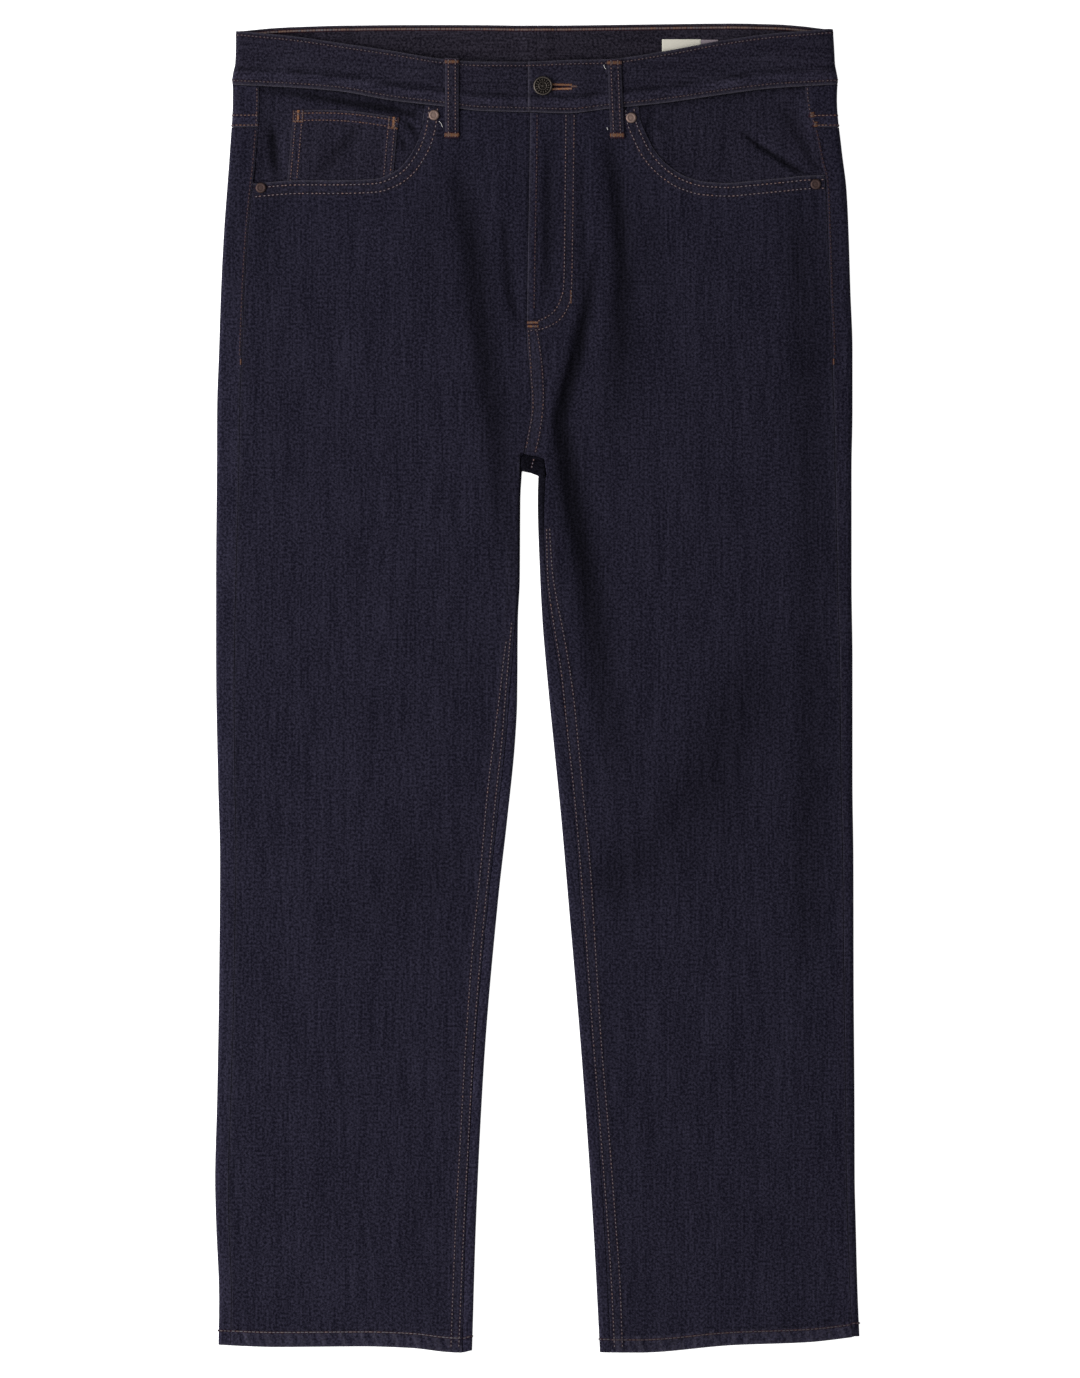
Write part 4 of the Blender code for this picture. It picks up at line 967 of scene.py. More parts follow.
def makeDenim():
    material, tree, shader = newMaterial("indigoTwill")
    look = denimLook
    place = uvMillimetres(tree)
    split = addNode(tree, "SeparateXYZ", {}, Vector=place)
    u, v = split.outputs[0], split.outputs[1]
    wobble = calc(tree, "SUBTRACT", noiseAt(tree, place, *look["fine"]), 0.5)
    wobble = calc(tree, "MULTIPLY", wobble, look["wobble"])
    across = calc(tree, "MULTIPLY", u, 2 * math.pi / look["wale"][0])
    diagonal = calc(tree, "SUBTRACT", across, calc(tree, "MULTIPLY", v, 2 * math.pi / look["wale"][1]))
    wale = calc(tree, "SINE", calc(tree, "ADD", diagonal, wobble))
    wale = calc(tree, "MULTIPLY_ADD", wale, 0.5, 0.5)
    yarn = calc(tree, "ABSOLUTE", calc(tree, "SINE", calc(tree, "MULTIPLY", u, math.pi / look["yarn"])))
    streak, mottle, slub, cloud, rubbed = [
        noiseAt(tree, place, *look[key]) for key in ("streak", "mottle", "slub", "cloud", "rub")
    ]
    # how light the cloth is here
    weave = calc(tree, "MULTIPLY", wale, yarn)
    grain = weighted(tree, *zip((streak, mottle, slub, cloud, weave), look["tones"]))
    level = calc(tree, "SUBTRACT", grain, look["level"], clamp=True)
    colour = blendColours(tree, level, look["dark"], look["light"])
    lining = blendColours(tree, level, look["insideDark"], look["inside"])
    colour = blendColours(tree, readValue(tree, "inside"), colour, lining)
    rubbed = calc(tree, "MULTIPLY", rubbed, 1.7)
    rubbed = calc(tree, "MULTIPLY", readValue(tree, "wear"), rubbed, clamp=True)
    colour = blendColours(tree, rubbed, colour, look["worn"])
    # painted shade where the value is positive, in folds, along rows of sewing, beside laps and under edges,
    # and painted light on raised strips where it is negative
    fold = readValue(tree, "fold")
    shade = calc(tree, "MULTIPLY", calc(tree, "MAXIMUM", fold, 0.0), 1.0 - look["deepestShade"])
    scale = calc(tree, "SUBTRACT", calc(tree, "SUBTRACT", 1.0, shade), calc(tree, "MINIMUM", fold, 0.0))
    height = weighted(tree, *zip((wale, yarn, streak, mottle), look["relief"]))
    bump = addNode(tree, "Bump", {}, Strength=look["bumpShare"], Distance=look["bump"], Height=height)
    feed(tree, shader.inputs["Base Color"], scaleColour(tree, colour, scale))
    feed(tree, shader.inputs["Normal"], bump.outputs[0])
    shader.inputs["Roughness"].default_value = look["rough"]
    shader.inputs["Specular IOR Level"].default_value = look["shine"]
    shader.inputs["Sheen Weight"].default_value = look["sheen"]
    shader.inputs["Sheen Roughness"].default_value = look["sheenRough"]
    return material


threadLook = {
    "pale": (0.182, 0.178, 0.203, 1),
    "orange": (0.40, 0.190, 0.092, 1),
    "flankShade": (0.028, 0.010, 0.016, 1),
    "ply": (0.0004, 0.0007, 0.0004),
    "bump": 0.0001,
    "rough": 0.6,
    "shine": 0.05,
}


def makeThread():
    # pale or orange along the top of each stitch, with painted shade on its flanks
    material, tree, shader = newMaterial("topstitchThread")
    look = threadLook
    ply = noiseAt(tree, addNode(tree, "TexCoord", {}).outputs["Object"], look["ply"], 2.0, 0.6)
    colour = blendColours(tree, readValue(tree, "tone"), look["pale"], look["orange"])
    colour = scaleColour(tree, colour, readValue(tree, "bright"))
    core = calc(tree, "MULTIPLY", readValue(tree, "core"), 2.5)
    core = calc(tree, "SUBTRACT", core, calc(tree, "MULTIPLY_ADD", ply, 0.6, 0.9), clamp=True)
    bump = addNode(tree, "Bump", {}, Strength=0.5, Distance=look["bump"], Height=ply)
    feed(tree, shader.inputs["Base Color"], blendColours(tree, core, look["flankShade"], colour))
    feed(tree, shader.inputs["Normal"], bump.outputs[0])
    shader.inputs["Roughness"].default_value = look["rough"]
    shader.inputs["Specular IOR Level"].default_value = look["shine"]
    return material


metalLook = {
    "antiqueMetal": {
        "dark": (0.004, 0.0035, 0.0035, 1),
        "bright": (0.125, 0.107, 0.094, 1),
        "rough": 0.42,
        "grain": 0.0016,
    },
    "copperMetal": {
        "dark": (0.115, 0.080, 0.072, 1),
        "bright": (0.31, 0.22, 0.19, 1),
        "rough": 0.52,
        "grain": 0.0012,
    },
    "dullCopper": {
        "dark": (0.024, 0.014, 0.013, 1),
        "bright": (0.100, 0.066, 0.062, 1),
        "rough": 0.5,
        "grain": 0.0010,
    },
}


def makeMetal(name):
    # darkened in its hollows, rubbed on its high rims
    material, tree, shader = newMaterial(name)
    look = metalLook[name]
    grain = look["grain"]
    place = addNode(tree, "TexCoord", {}).outputs["Object"]
    patches = noiseAt(tree, place, (grain, grain, grain), 4.0, 0.65)
    fine = noiseAt(tree, place, (grain / 6, grain / 6, grain / 6), 2.0, 0.6)
    high = calc(tree, "SUBTRACT", readValue(tree, "rim"), 0.45)
    level = calc(tree, "MULTIPLY_ADD", patches, 0.9, high, clamp=True)
    bump = addNode(tree, "Bump", {}, Strength=0.4, Distance=0.00008, Height=fine)
    feed(tree, shader.inputs["Base Color"], blendColours(tree, level, look["dark"], look["bright"]))
    feed(tree, shader.inputs["Roughness"], calc(tree, "MULTIPLY_ADD", fine, 0.25, look["rough"]))
    feed(tree, shader.inputs["Normal"], bump.outputs[0])
    shader.inputs["Metallic"].default_value = 1.0
    return material


# base and flecks
tapeLook = {
    "labelTape": ((0.74, 0.71, 0.62, 1), (0.60, 0.56, 0.47, 1)),
    "tabTape": ((0.34, 0.28, 0.32, 1), (0.12, 0.095, 0.110, 1)),
    "whiteThread": ((0.80, 0.78, 0.76, 1), (0.66, 0.64, 0.62, 1)),
}


def makeTape(name):
    # a fine ribbed tape
    material, tree, shader = newMaterial(name)
    place = uvMillimetres(tree)
    along = addNode(tree, "SeparateXYZ", {}, Vector=place).outputs[1]
    rib = calc(tree, "ABSOLUTE", calc(tree, "SINE", calc(tree, "MULTIPLY", along, math.pi / 0.45)))
    soft = noiseAt(tree, place, (3.0, 1.2, 1), 3.0, 0.6)
    colour = blendColours(tree, calc(tree, "MULTIPLY", soft, 0.5), *tapeLook[name])
    height = calc(tree, "ADD", rib, soft)
    bump = addNode(tree, "Bump", {}, Strength=0.5, Distance=0.00008, Height=height)
    feed(tree, shader.inputs["Base Color"], colour)
    feed(tree, shader.inputs["Normal"], bump.outputs[0])
    shader.inputs["Roughness"].default_value = 0.75
    shader.inputs["Specular IOR Level"].default_value = 0.2
    return material


denim = makeDenim()
threadCloth = makeThread()
buttonMetal = makeMetal("antiqueMetal")
brightRivet = makeMetal("copperMetal")
darkRivet = makeMetal("dullCopper")
labelCloth = makeTape("labelTape")
tabCloth = makeTape("tabTape")
print("materials made")


def makeSheet(
    name, rows, uv, wall, material, down=False, walls=None, wear=None, fold=None, bevel=cloth["rim"]
):
    # a panel: a grid shaped by its rows, given its thickness inwards and rounded at its edges
    tall, wide = rows.shape[:2]
    bpy.ops.object.select_all(action="DESELECT")
    bpy.ops.mesh.primitive_grid_add(x_subdivisions=wide - 1, y_subdivisions=tall - 1, size=2)
    panel = bpy.context.object
    panel.name = panel.data.name = name + "_cloth"
    mesh = panel.data
    start = np.empty(len(mesh.vertices) * 3)
    mesh.vertices.foreach_get("co", start)
    start = start.reshape(-1, 3)
    across = np.rint((start[:, 0] + 1) / 2 * (wide - 1)).astype(int)
    up = np.rint((start[:, 1] + 1) / 2 * (tall - 1)).astype(int)
    points = rows[up, across] * mm
    absent = np.isnan(points[:, 0])
    mesh.vertices.foreach_set("co", np.nan_to_num(points).ravel())
    corners = np.empty(len(mesh.loops), int)
    mesh.loops.foreach_get("vertex_index", corners)
    mesh.uv_layers[0].name = "UVMap"
    mesh.uv_layers[0].data.foreach_set("uv", np.nan_to_num(uv[up, across])[corners].ravel())
    for key, values in (("wear", wear), ("fold", fold)):
        values = np.broadcast_to(0.0 if values is None else values, (tall, wide))
        setValues(mesh, key, np.nan_to_num(values[up, across]))
    if walls is not None:
        group = panel.vertex_groups.new(name="wall")
        walls = walls if np.ndim(walls) == 2 else walls[:, None]
        shares = np.round(np.broadcast_to(walls, (tall, wide))[up, across], 2)
        for share in np.unique(shares):
            group.add(np.nonzero(shares == share)[0].tolist(), float(share / wall), "REPLACE")
    if absent.any():
        bm = bmesh.new()
        bm.from_mesh(mesh)
        gone = np.nonzero(absent)[0]
        bm.verts.ensure_lookup_table()
        bmesh.ops.delete(bm, geom=[bm.verts[i] for i in gone], context="VERTS")
        bm.to_mesh(mesh)
        bm.free()
    mesh.update()
    if (mesh.polygons[0].normal.z < 0) != down:
        mesh.flip_normals()
    thick = panel.modifiers.new("wall", "SOLIDIFY")
    thick.thickness = wall * mm
    thick.offset = -1
    if walls is not None:
        thick.vertex_group = "wall"
    rim = panel.modifiers.new("edges", "BEVEL")
    rim.width = bevel * mm
    rim.segments = 2
    rim.limit_method = "ANGLE"
    rim.angle_limit = math.radians(60)
    rim.use_clamp_overlap = False
    for modifier in ("wall", "edges"):
        bpy.ops.object.modifier_apply(modifier=modifier)
    bpy.ops.object.shade_smooth_by_angle(angle=math.radians(50))
    mesh.materials.clear()
    mesh.materials.append(material)
    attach(panel, "root")
    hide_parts(name)
    return panel


greyed = {
    "low": 1.4,  # the heights between which the inner face of the back is seen
    "high": 4.9,
    "band": (1.0, 0.3),  # how grey a piece is between them, and elsewhere
    "facing": (0.2, 0.2),
    "loop": (0.4, 0.4),
    "coin": (0.3, 0.3),
}


def markInside(panel, inside, others):
    levels = np.empty(len(panel.data.vertices) * 3)
    panel.data.vertices.foreach_get("co", levels)
    levels = levels[2::3] / mm
    within = (levels > greyed["low"]) & (levels < greyed["high"])
    setValues(panel.data, "inside", np.where(within, inside, others))


def edgeWear(rows, foot=0.0, top=0.0, first=0.0, last=0.0):
    # rubbed lines along a panel's edges
    width = cloth["rubbed"]
    along = lengthsAlong(rows)
    up = lengthsAlong(rows.transpose(1, 0, 2)).T
    wear = foot * np.exp(-up / width)
    wear = np.maximum(wear, top * np.exp(-(up[-1:] - up) / width))
    wear = np.maximum(wear, first * np.exp(-along / width))
    ends = np.nanmax(along, axis=1)[:, None]
    return np.nan_to_num(np.maximum(wear, last * np.exp(-(ends - along) / width)))


threadRest = 0.36  # the garment lies on its thread, and its cloth just over it


def resting(rows):
    lifted = rows.copy()
    lifted[..., 2] += threadRest * np.clip(1 - rows[..., 2] / 2.5, 0, 1)
    return lifted


thread = {"pitch": 3.3, "long": 3.1, "thick": 1.8, "rise": 0.42, "vary": 0.12, "seed": 11}
tack = {"step": 0.8, "reach": 1.3, "thick": 1.3, "tone": 0.7, "vary": 0.3}
chance = np.random.default_rng(thread["seed"])
spots = {}  # piece: rows of point, direction, normal, half length, half width, tone, how bright its core is


def stitchShape():
    # one stitch: a low bead whose ends dip into the cloth; its top keeps the thread's colour and its flanks
    # take painted shade
    bpy.ops.object.select_all(action="DESELECT")
    bpy.ops.mesh.primitive_uv_sphere_add(segments=8, ring_count=5, radius=1)
    bead = bpy.context.object
    bpy.ops.object.mode_set(mode="EDIT")
    bpy.ops.mesh.select_all(action="SELECT")
    bpy.ops.transform.rotate(value=math.pi / 2, orient_axis="Y", center_override=(0, 0, 0))
    bpy.ops.mesh.normals_make_consistent(inside=False)
    bpy.ops.object.mode_set(mode="OBJECT")
    points = np.array([v.co for v in bead.data.vertices])
    faces = [list(p.vertices) for p in bead.data.polygons]
    bpy.data.objects.remove(bead)
    around = np.hypot(points[:, 1], points[:, 2])
    top = (points[:, 2] > 0.5 * around) & (around > 0.1)
    core = top * (around > 0.8)
    points[top, 1] *= 0.25
    points[:, 2] = np.where(top, 0.75 * around, points[:, 2]) + 0.25 - 0.85 * points[:, 0] ** 2
    return points, faces, core


def addSpots(piece, points, along, normals, long, wide, tone, vary=thread["vary"], bright=1.0):
    count = len(points)
    normals = normals / np.linalg.norm(normals, axis=1)[:, None]
    along = along - normals * (along * normals).sum(axis=1)[:, None]
    along = along / np.linalg.norm(along, axis=1)[:, None]
    tones = np.clip(tone + vary * chance.standard_normal(count), 0, 1)
    lengths = long / 2 * (1 + 0.07 * chance.standard_normal(count))
    columns = [points, along, normals, lengths, np.full(count, wide / 2), tones, np.full(count, bright)]
    spots.setdefault(piece, []).append(np.column_stack(columns))


def layRow(piece, points, normals, tone, bright, pitch=None, long=None, thick=None):
    # stitches spaced along a line of points
    pitch, thick = pitch or thread["pitch"], thick or thread["thick"]
    long = long or thread["long"] * pitch / thread["pitch"]
    good = ~np.isnan(points[:, 0])
    points, normals = points[good], normals[good]
    if len(points) < 2:
        return
    along = np.concatenate([[0], np.cumsum(np.linalg.norm(np.diff(points, axis=0), axis=1))])
    count = int(along[-1] / pitch)
    if count < 1:
        return
    at = (np.arange(count) + 0.5) * along[-1] / count + 0.06 * pitch * chance.standard_normal(count)

    def read(values, where):
        return np.stack([np.interp(where, along, values[:, k]) for k in range(3)], axis=1)

    ahead = read(points, at + 0.8) - read(points, at - 0.8)
    sidestep = np.cross(ahead, read(normals, at)) * 0.03 * chance.standard_normal(count)[:, None]
    place = read(points, at) + sidestep * 0.5
    addSpots(piece, place, ahead + sidestep, read(normals, at), long, thick, tone, thread["vary"], bright)


def castLine(sheet, line, below=False, under=None):
    # a plan line laid on a sheet from above, or from below; where it misses, on the one under it
    height, way = (-0.05, 1) if below else (0.05, -1)
    points, normals = [], []
    for x, y in line:
        hit, place, normal, _ = sheet.ray_cast((x * mm, y * mm, height), (0, 0, way))
        if under and not hit:
            hit, place, normal, _ = under.ray_cast((x * mm, y * mm, height), (0, 0, way))
        if hit:
            points.append(np.array(place) / mm)
            normals.append(np.array(normal))
        elif points:
            points.append(np.full(3, np.nan))
            normals.append(np.full(3, np.nan))
    return np.array(points).reshape(-1, 3), np.array(normals).reshape(-1, 3)


def sewLine(piece, sheet, line, below=False, **options):
    line = evenLine(line, 1.2)
    points, normals = castLine(sheet, line, below)
    layRow(piece, points, normals, **options)


def edgeRow(rows, distance, outward):
    # points and normals this far up the columns from the first row
    up = lengthsAlong(rows.transpose(1, 0, 2))
    points = np.full((rows.shape[1], 3), np.nan)
    for j in range(rows.shape[1]):
        good = ~np.isnan(rows[:, j, 0])
        if good.sum() > 1:
            points[j] = [np.interp(distance, up[j][good], rows[good, j, k]) for k in range(3)]
    a = np.gradient(rows, axis=0)
    b = np.gradient(rows, axis=1)
    normal = np.cross(b, a)
    i = min(int(np.searchsorted(up[rows.shape[1] // 2], distance)), len(rows) - 1)
    normals = normal[i]
    length = np.linalg.norm(normals, axis=1)[:, None]
    return points, normals / np.where(length > 0, length, 1) * outward


def layEdge(piece, rows, distance, outward, edge="foot", part=(0, 1), inside=0.0, **options):
    # a row of stitches at a distance from one edge of a sheet
    grid = rows
    if edge in ("first", "last"):
        grid, outward = grid.transpose(1, 0, 2), -outward
    if edge in ("top", "last"):
        grid, outward = grid[::-1], -outward
    points, normals = edgeRow(grid, distance, outward)
    low, high = int(part[0] * len(points)), int(part[1] * len(points))
    points, normals = points[low:high], normals[low:high]
    if inside:
        points, normals = points - normals * inside, -normals
    layRow(piece, points, normals, **options)


def layTack(piece, sheet, x, y, angle, length, width, tone=tack["tone"], bright=0.6, under=None):
    # a bar of close stitches, length along angle and width across
    count = max(int(length / tack["step"]), 2)
    at = (np.arange(count) + 0.5) / count * length - length / 2
    c, s = math.cos(math.radians(angle)), math.sin(math.radians(angle))
    points, normals = castLine(sheet, np.stack([x + c * at, y + s * at], axis=1), under=under)
    good = ~np.isnan(points[:, 0])
    if good.any():
        points, normals = points[good], normals[good]
        along = np.tile([-s, c, 0.0], (len(points), 1)) + 0.07 * chance.standard_normal((len(points), 3))
        long = width * tack["reach"]
        addSpots(piece, points, along, normals, long, tack["thick"], tone, tack["vary"], bright)


def makeStitching(piece):
    # all of a piece's stitches, joined in one mesh
    rows = np.vstack(spots[piece])
    shape, faces, core = stitch
    side = np.cross(rows[:, 6:9], rows[:, 3:6])
    points = (
        rows[:, None, 0:3]
        + rows[:, None, 3:6] * (rows[:, 9, None] * shape[None, :, 0])[..., None]
        + side[:, None] * (rows[:, 10, None] * shape[None, :, 1])[..., None]
        + rows[:, None, 6:9] * (np.minimum(rows[:, 10, None], thread["rise"]) * shape[None, :, 2])[..., None]
    )
    points[..., 2] = np.maximum(points[..., 2], 0)  # none goes below the surface
    mesh = bpy.data.meshes.new(piece + "_stitching")
    count, each = len(rows), len(shape)
    every = [[i + k * each for i in face] for k in range(count) for face in faces]
    mesh.from_pydata((points.reshape(-1, 3) * mm).tolist(), [], every)
    setValues(mesh, "tone", np.repeat(rows[:, 11], each))
    setValues(mesh, "core", np.tile(core, count))
    setValues(mesh, "bright", np.repeat(rows[:, 12], each))
    mesh.shade_smooth()
    mesh.materials.append(threadCloth)
    obj = bpy.data.objects.new(piece + "_stitching", mesh)
    bpy.context.scene.collection.objects.link(obj)
    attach(obj, "root")
    return obj


stitch = stitchShape()
sheets = {}  # piece: object, rows, outward


def declare(name):
    sheet, rows = sheets[name][0], sheets[name][1]
    sewing = [makeStitching(name)] if name in spots else []
    wide, tall, area = measure(rows)
    print("  ", name, "cut", wide, tall, "m, area", area)


frontLook = {
    "wear": {"foot": 0.4, "last": 0.12},
    "riseWear": 0.35,
    "mouthWear": 0.75,
    "bunch": (0.3, 0.15),  # how much painted light bunched cloth gets, and how high it stands then
    "row": (0.3, 1.3),  # how much painted shade lies along a row of sewing, and how far out
    "lap": (0.75, 1.3),  # how much painted shadow lies beside the fly's lap, and how far out
    "fullShadeDepth": 2.1,  # a fold this deep gets the full painted shade
    "thinMouth": 0.5,
    "mapColumn": 60,
    "wallColumn": 50,
    # x, y, angle, length, width
    "flyTacks": ((-4.2, 310.2, 0, 10.4, 2.9), (-4.2, 307.0, 0, 10.4, 2.9), (28.6, 332.0, 90, 11.0, 1.9)),
}


def makeFront(side):
    name, way, look = "front_" + side, -inward[side], frontLook
    rows = frontRows(side)
    x, y = frontPlan(side)
    onMouth = spread(frontColumns) >= mouths[side][0][0]
    worn = edgeWear(rows, **look["wear"])
    first = ease((y - 190) / 20) if side == "left" else 0.7 * window(y, 184.0, 203.0, 3.0)
    worn = np.maximum(worn, edgeWear(rows, first=look["riseWear"]) * first)
    worn = np.maximum(worn, edgeWear(rows, top=look["mouthWear"]) * onMouth)
    _, rubbed, lit = frontLayers(side, x, y)
    worn = np.maximum(worn, rubbed)
    # painted light on raised strips and bunched cloth; painted shade in folds, along rows of sewing and
    # beside the fly's lap
    lit = lit + look["bunch"][0] * np.clip(sewnRelief(name, x, y) / look["bunch"][1], 0, 1)
    dark = foldDepth(x, y, foldRows) / look["fullShadeDepth"]
    for line, _ in sewn[name]:
        dark = dark + look["row"][0] * np.exp(-((nearLine(x, y, line, 5.0)[0] / look["row"][1]) ** 2))
    if side == "right":
        beside = look["lap"][0] * np.exp(-np.maximum(curve(centre, 1, y) - x, 0) / look["lap"][1])
        dark = dark + beside * ease((y - 290) / 20)
    dark = np.clip(np.clip(dark, 0, 1) - lit, -0.6, 1)
    walls = wallAt(y[:, look["wallColumn"]])
    if side == "left":
        away = nearLine(x, y, mouthLine(side), 12.0)[0]
        walls = np.minimum(walls[:, None], mix(look["thinMouth"], cloth["turnedHem"], ease(away / 22)))
    uv = flatMap(rows, look["mapColumn"], way)
    sheet = makeSheet(name, rows, uv, cloth["turnedHem"], denim, walls=walls, wear=worn, fold=dark)
    sheets[name] = (sheet, rows, way)
    for line, options in sewn[name]:
        shown = {key: options[key] for key in ("tone", "bright", "pitch", "long") if key in options}
        sewLine(name, sheet, line, **shown)
    if side == "left":
        for place in look["flyTacks"]:
            layTack(name, sheet, *place)


backLook = {
    "wear": {"foot": 0.4, "first": 0.14},
    "turnShade": {"right": 0.85, "left": 0.9},  # how dark the inseam's turn is near the crotch
    "turnLit": {"right": 0.45, "left": 0.12},  # how much lighter it is below
    "sideLit": 0.18,
    "hem": {"tone": 0.0, "bright": 0.5, "pitch": 3.4, "long": 5.0},
    "hemUp": {"right": 12.2, "left": 11.2},
    "sideBright": {"right": 0.3, "left": 0.2},
    "rise": {"tone": 0.1, "bright": 0.7},
    "riseRows": (2.4, 9.4),
    "crotch": {"tone": 0.1, "bright": 0.9, "pitch": 2.6},
    "crotchRow": ((-2.6, 195.2), (-4.0, 190.0), (-5.4, 184.0)),
    "tackAt": 277.0,
}


def seamRow(side, low, high, out):
    # a row beside the side seam
    y = np.arange(low, high, 3.0)
    return np.stack([sideSeam(side, y) - inward[side] * out, y], axis=1)


def makeBack(side):
    name, way, look = "back_" + side, -inward[side], backLook
    rows = resting(backRows(side))
    walls = wallAt(np.nanmax(rows[..., 1], axis=1))
    worn = edgeWear(rows, **look["wear"])
    x, y = rows[..., 0], rows[..., 1]
    # painted shade at the crotch and down the inseam's turn near it; painted light on the turn lower down
    # and along the right side
    dark = window(x, -17.0, 11.0, 4.0) * window(y, 182.0, 206.0, 6.0) * (rows[..., 2] > 1)
    onTurn = (np.arange(rows.shape[1]) >= rows.shape[1] - len(turnShares)) * (rows[..., 2] > 1)
    shade = look["turnShade"][side]
    if side == "right":
        shade = shade * np.exp(-((np.abs(x - innerEdge(side, y)) / 1.6) ** 2))
    shadow = ease((y - 92) / 60) * shade
    lit = look["turnLit"][side] * ease((80 - y) / 110)
    dark = np.maximum(dark, onTurn * shadow) - onTurn * lit
    if side == "right":
        dark = dark - look["sideLit"] * (np.arange(rows.shape[1]) < 14) * ease((360 - y) / 60)
    uv = flatMap(rows, 0, way)
    sheet = makeSheet(name, rows, uv, cloth["turnedHem"], denim, walls=walls, wear=worn, fold=dark)
    sheets[name] = (sheet, rows, way)
    layEdge(name, rows, look["hemUp"][side], way, **look["hem"])
    sewLine(name, sheet, seamRow(side, 282.0, 475.0, 2.0), tone=0.05, bright=look["sideBright"][side])
    if side == "left":
        y = np.arange(202.0, float(yokeSeam(side, 5.0)) - 1.0, 4.0)
        for distance in look["riseRows"]:
            line = np.stack([curve(centre, 2, y) + distance, y], axis=1)
            sewLine(name, sheet, line, below=True, **look["rise"])
        sewLine(name, sheet, look["crotchRow"], **look["crotch"])
    x = float(sideSeam(side, look["tackAt"])) + way * 0.9
    layTack(name, sheet, x, look["tackAt"], 90, 5.2, 1.7)


yokeLook = {
    "wear": {"foot": 0.5, "first": 0.14},
    "lit": -0.3,
    "rows": (1.7, 10.2),
    "sewn": {"tone": 0.35, "bright": 0.6, "long": 3.8},
    "side": {"tone": 0.1, "bright": 0.5},
    "tacks": (478.6, 486.6),
}


def makeYoke(side):
    name, way, look = "yoke_" + side, -inward[side], yokeLook
    rows = resting(yokeRows(side))
    worn = edgeWear(rows, **look["wear"])
    up = lengthsAlong(rows.transpose(1, 0, 2)).T
    # painted light on the raised strip between the yoke's rows of sewing
    lit = np.nan_to_num(look["lit"] * window(up, 3.0, 9.0, 1.5))
    sheet = makeSheet(name, rows, flatMap(rows, 0, way), cloth["wall"], denim, wear=worn, fold=lit)
    sheets[name] = (sheet, rows, way)
    for distance in look["rows"]:
        layEdge(name, rows, distance, way, **look["sewn"])
    sewLine(name, sheet, seamRow(side, 477.0, 513.0, 2.0), **look["side"])
    if side == "left":
        for y in look["tacks"]:
            x = float(sideSeam(side, y)) + way * 2.9
            layTack(name, sheet, x, y, 90, 4.4, 5.0, tone=1.0, bright=0.42)


bandLook = {
    "low": {"tone": 0.02, "bright": 0.42, "pitch": 3.2},
    "high": {"tone": 0.04, "bright": 0.5, "pitch": 3.2},
    "inside": {"tone": 0.32, "bright": 0.6, "pitch": 2.4, "long": 4.8, "thick": 3.6},
    "rowShade": 0.3,
    "lap": (0.7, 1.3),  # how much painted shadow falls beside the lap, and how far out
    # an even painted shade on the part behind
    "behind": 0.15,
}


def makeBand(side):
    name, way, look = "waistband_" + side, -inward[side], bandLook
    rows = resting(bandRows(side))
    along = flatMap(rows, 0, way)
    uv = np.stack([-along[..., 1], along[..., 0]], axis=-1)
    worn = edgeWear(rows, top=0.6, first=0.4 if side == "left" else 0.0)
    worn = np.maximum(worn, edgeWear(rows, foot=0.75))
    x, y = rows[..., 0], rows[..., 1]
    front = rows[..., 2] > 4
    low, high = y - waist(x, frontLow), waist(x, frontHigh) - y
    # painted light on the ridge above the lower row; painted shade in a line above it, along the rows and
    # beside the lap
    ridge = window(low, *bandSew["ridge"], 2.5) * (0.3 + 0.12 * ripple(x, 36.0, bandSew["seed"][side]))
    dark = 0.5 * window(low, 13.0, 14.5, 3.5) * np.clip(0.55 + 0.5 * ripple(x, 41.0, 1.1), 0, 1)
    dark = dark + look["rowShade"] * np.exp(-(((low - bandSew["low"]) / 1.3) ** 2))
    dark = front * (dark + look["rowShade"] * np.exp(-(((high - bandSew["high"]) / 1.3) ** 2)))
    if side == "right":
        beside = np.exp(-np.maximum(curve(centre, 1, y) - x, 0) / look["lap"][1])
        dark = dark + look["lap"][0] * front * beside
    dark = np.where(front, np.clip(dark, 0, 1) - np.clip(ridge, 0, 1), look["behind"])
    sheet = makeSheet(name, rows, uv, cloth["band"], denim, wear=worn, fold=dark)
    sheets[name] = (sheet, rows, way)
    layEdge(name, rows, bandSew["low"], way, **look["low"])
    layEdge(name, rows, bandSew["high"], way, edge="top", **look["high"])
    inside = look["inside"]  # the chain of stitches seen on the inner face
    layEdge(name, rows, bandSew["high"], way, edge="top", part=(0.5, 1), inside=cloth["band"], **inside)
    markInside(sheet, *greyed["band"])


def creaseShading(side, x, y):
    # painted shade in the creases and painted light on the ridges
    folds = 0.85 * foldDepth(x, y, facingFolds[side], 1.2)
    return folds, 0.3 * foldDepth(x, y, facingRidges[side], 1.0)


def makeFacing(side):
    name, way = "pocket_facing_" + side, -inward[side]
    rows = facingRows(side)
    x, y = rows[..., 0], rows[..., 1]
    # painted shadow along the pocket mouth and under the band's edge
    dark = facing["mouthShade"][side] * np.exp(-nearLine(x, y, mouthLine(side), 9.0)[0] / 1.6)
    dark = dark + facing["bandShade"] * np.exp(-np.abs(waist(x, frontLow) - y) / 3.0)
    folds, ridges = creaseShading(side, x, y)
    dark = np.clip(dark + folds - ridges, -0.5, 1)
    uv = flatMap(rows, 0, way)
    sheet = makeSheet(name, rows, uv, cloth["pocketing"], denim, fold=dark)
    markInside(sheet, *greyed["facing"])
    sheets[name] = (sheet, rows, way)


pocketLook = {
    "wear": {"foot": 0.4, "top": 0.55, "first": 0.4, "last": 0.4},
    "rows": (2.0, 8.2),
    "topRows": (3.0, 17.0),
    "sewn": {"tone": 0.2, "bright": 0.7},
}


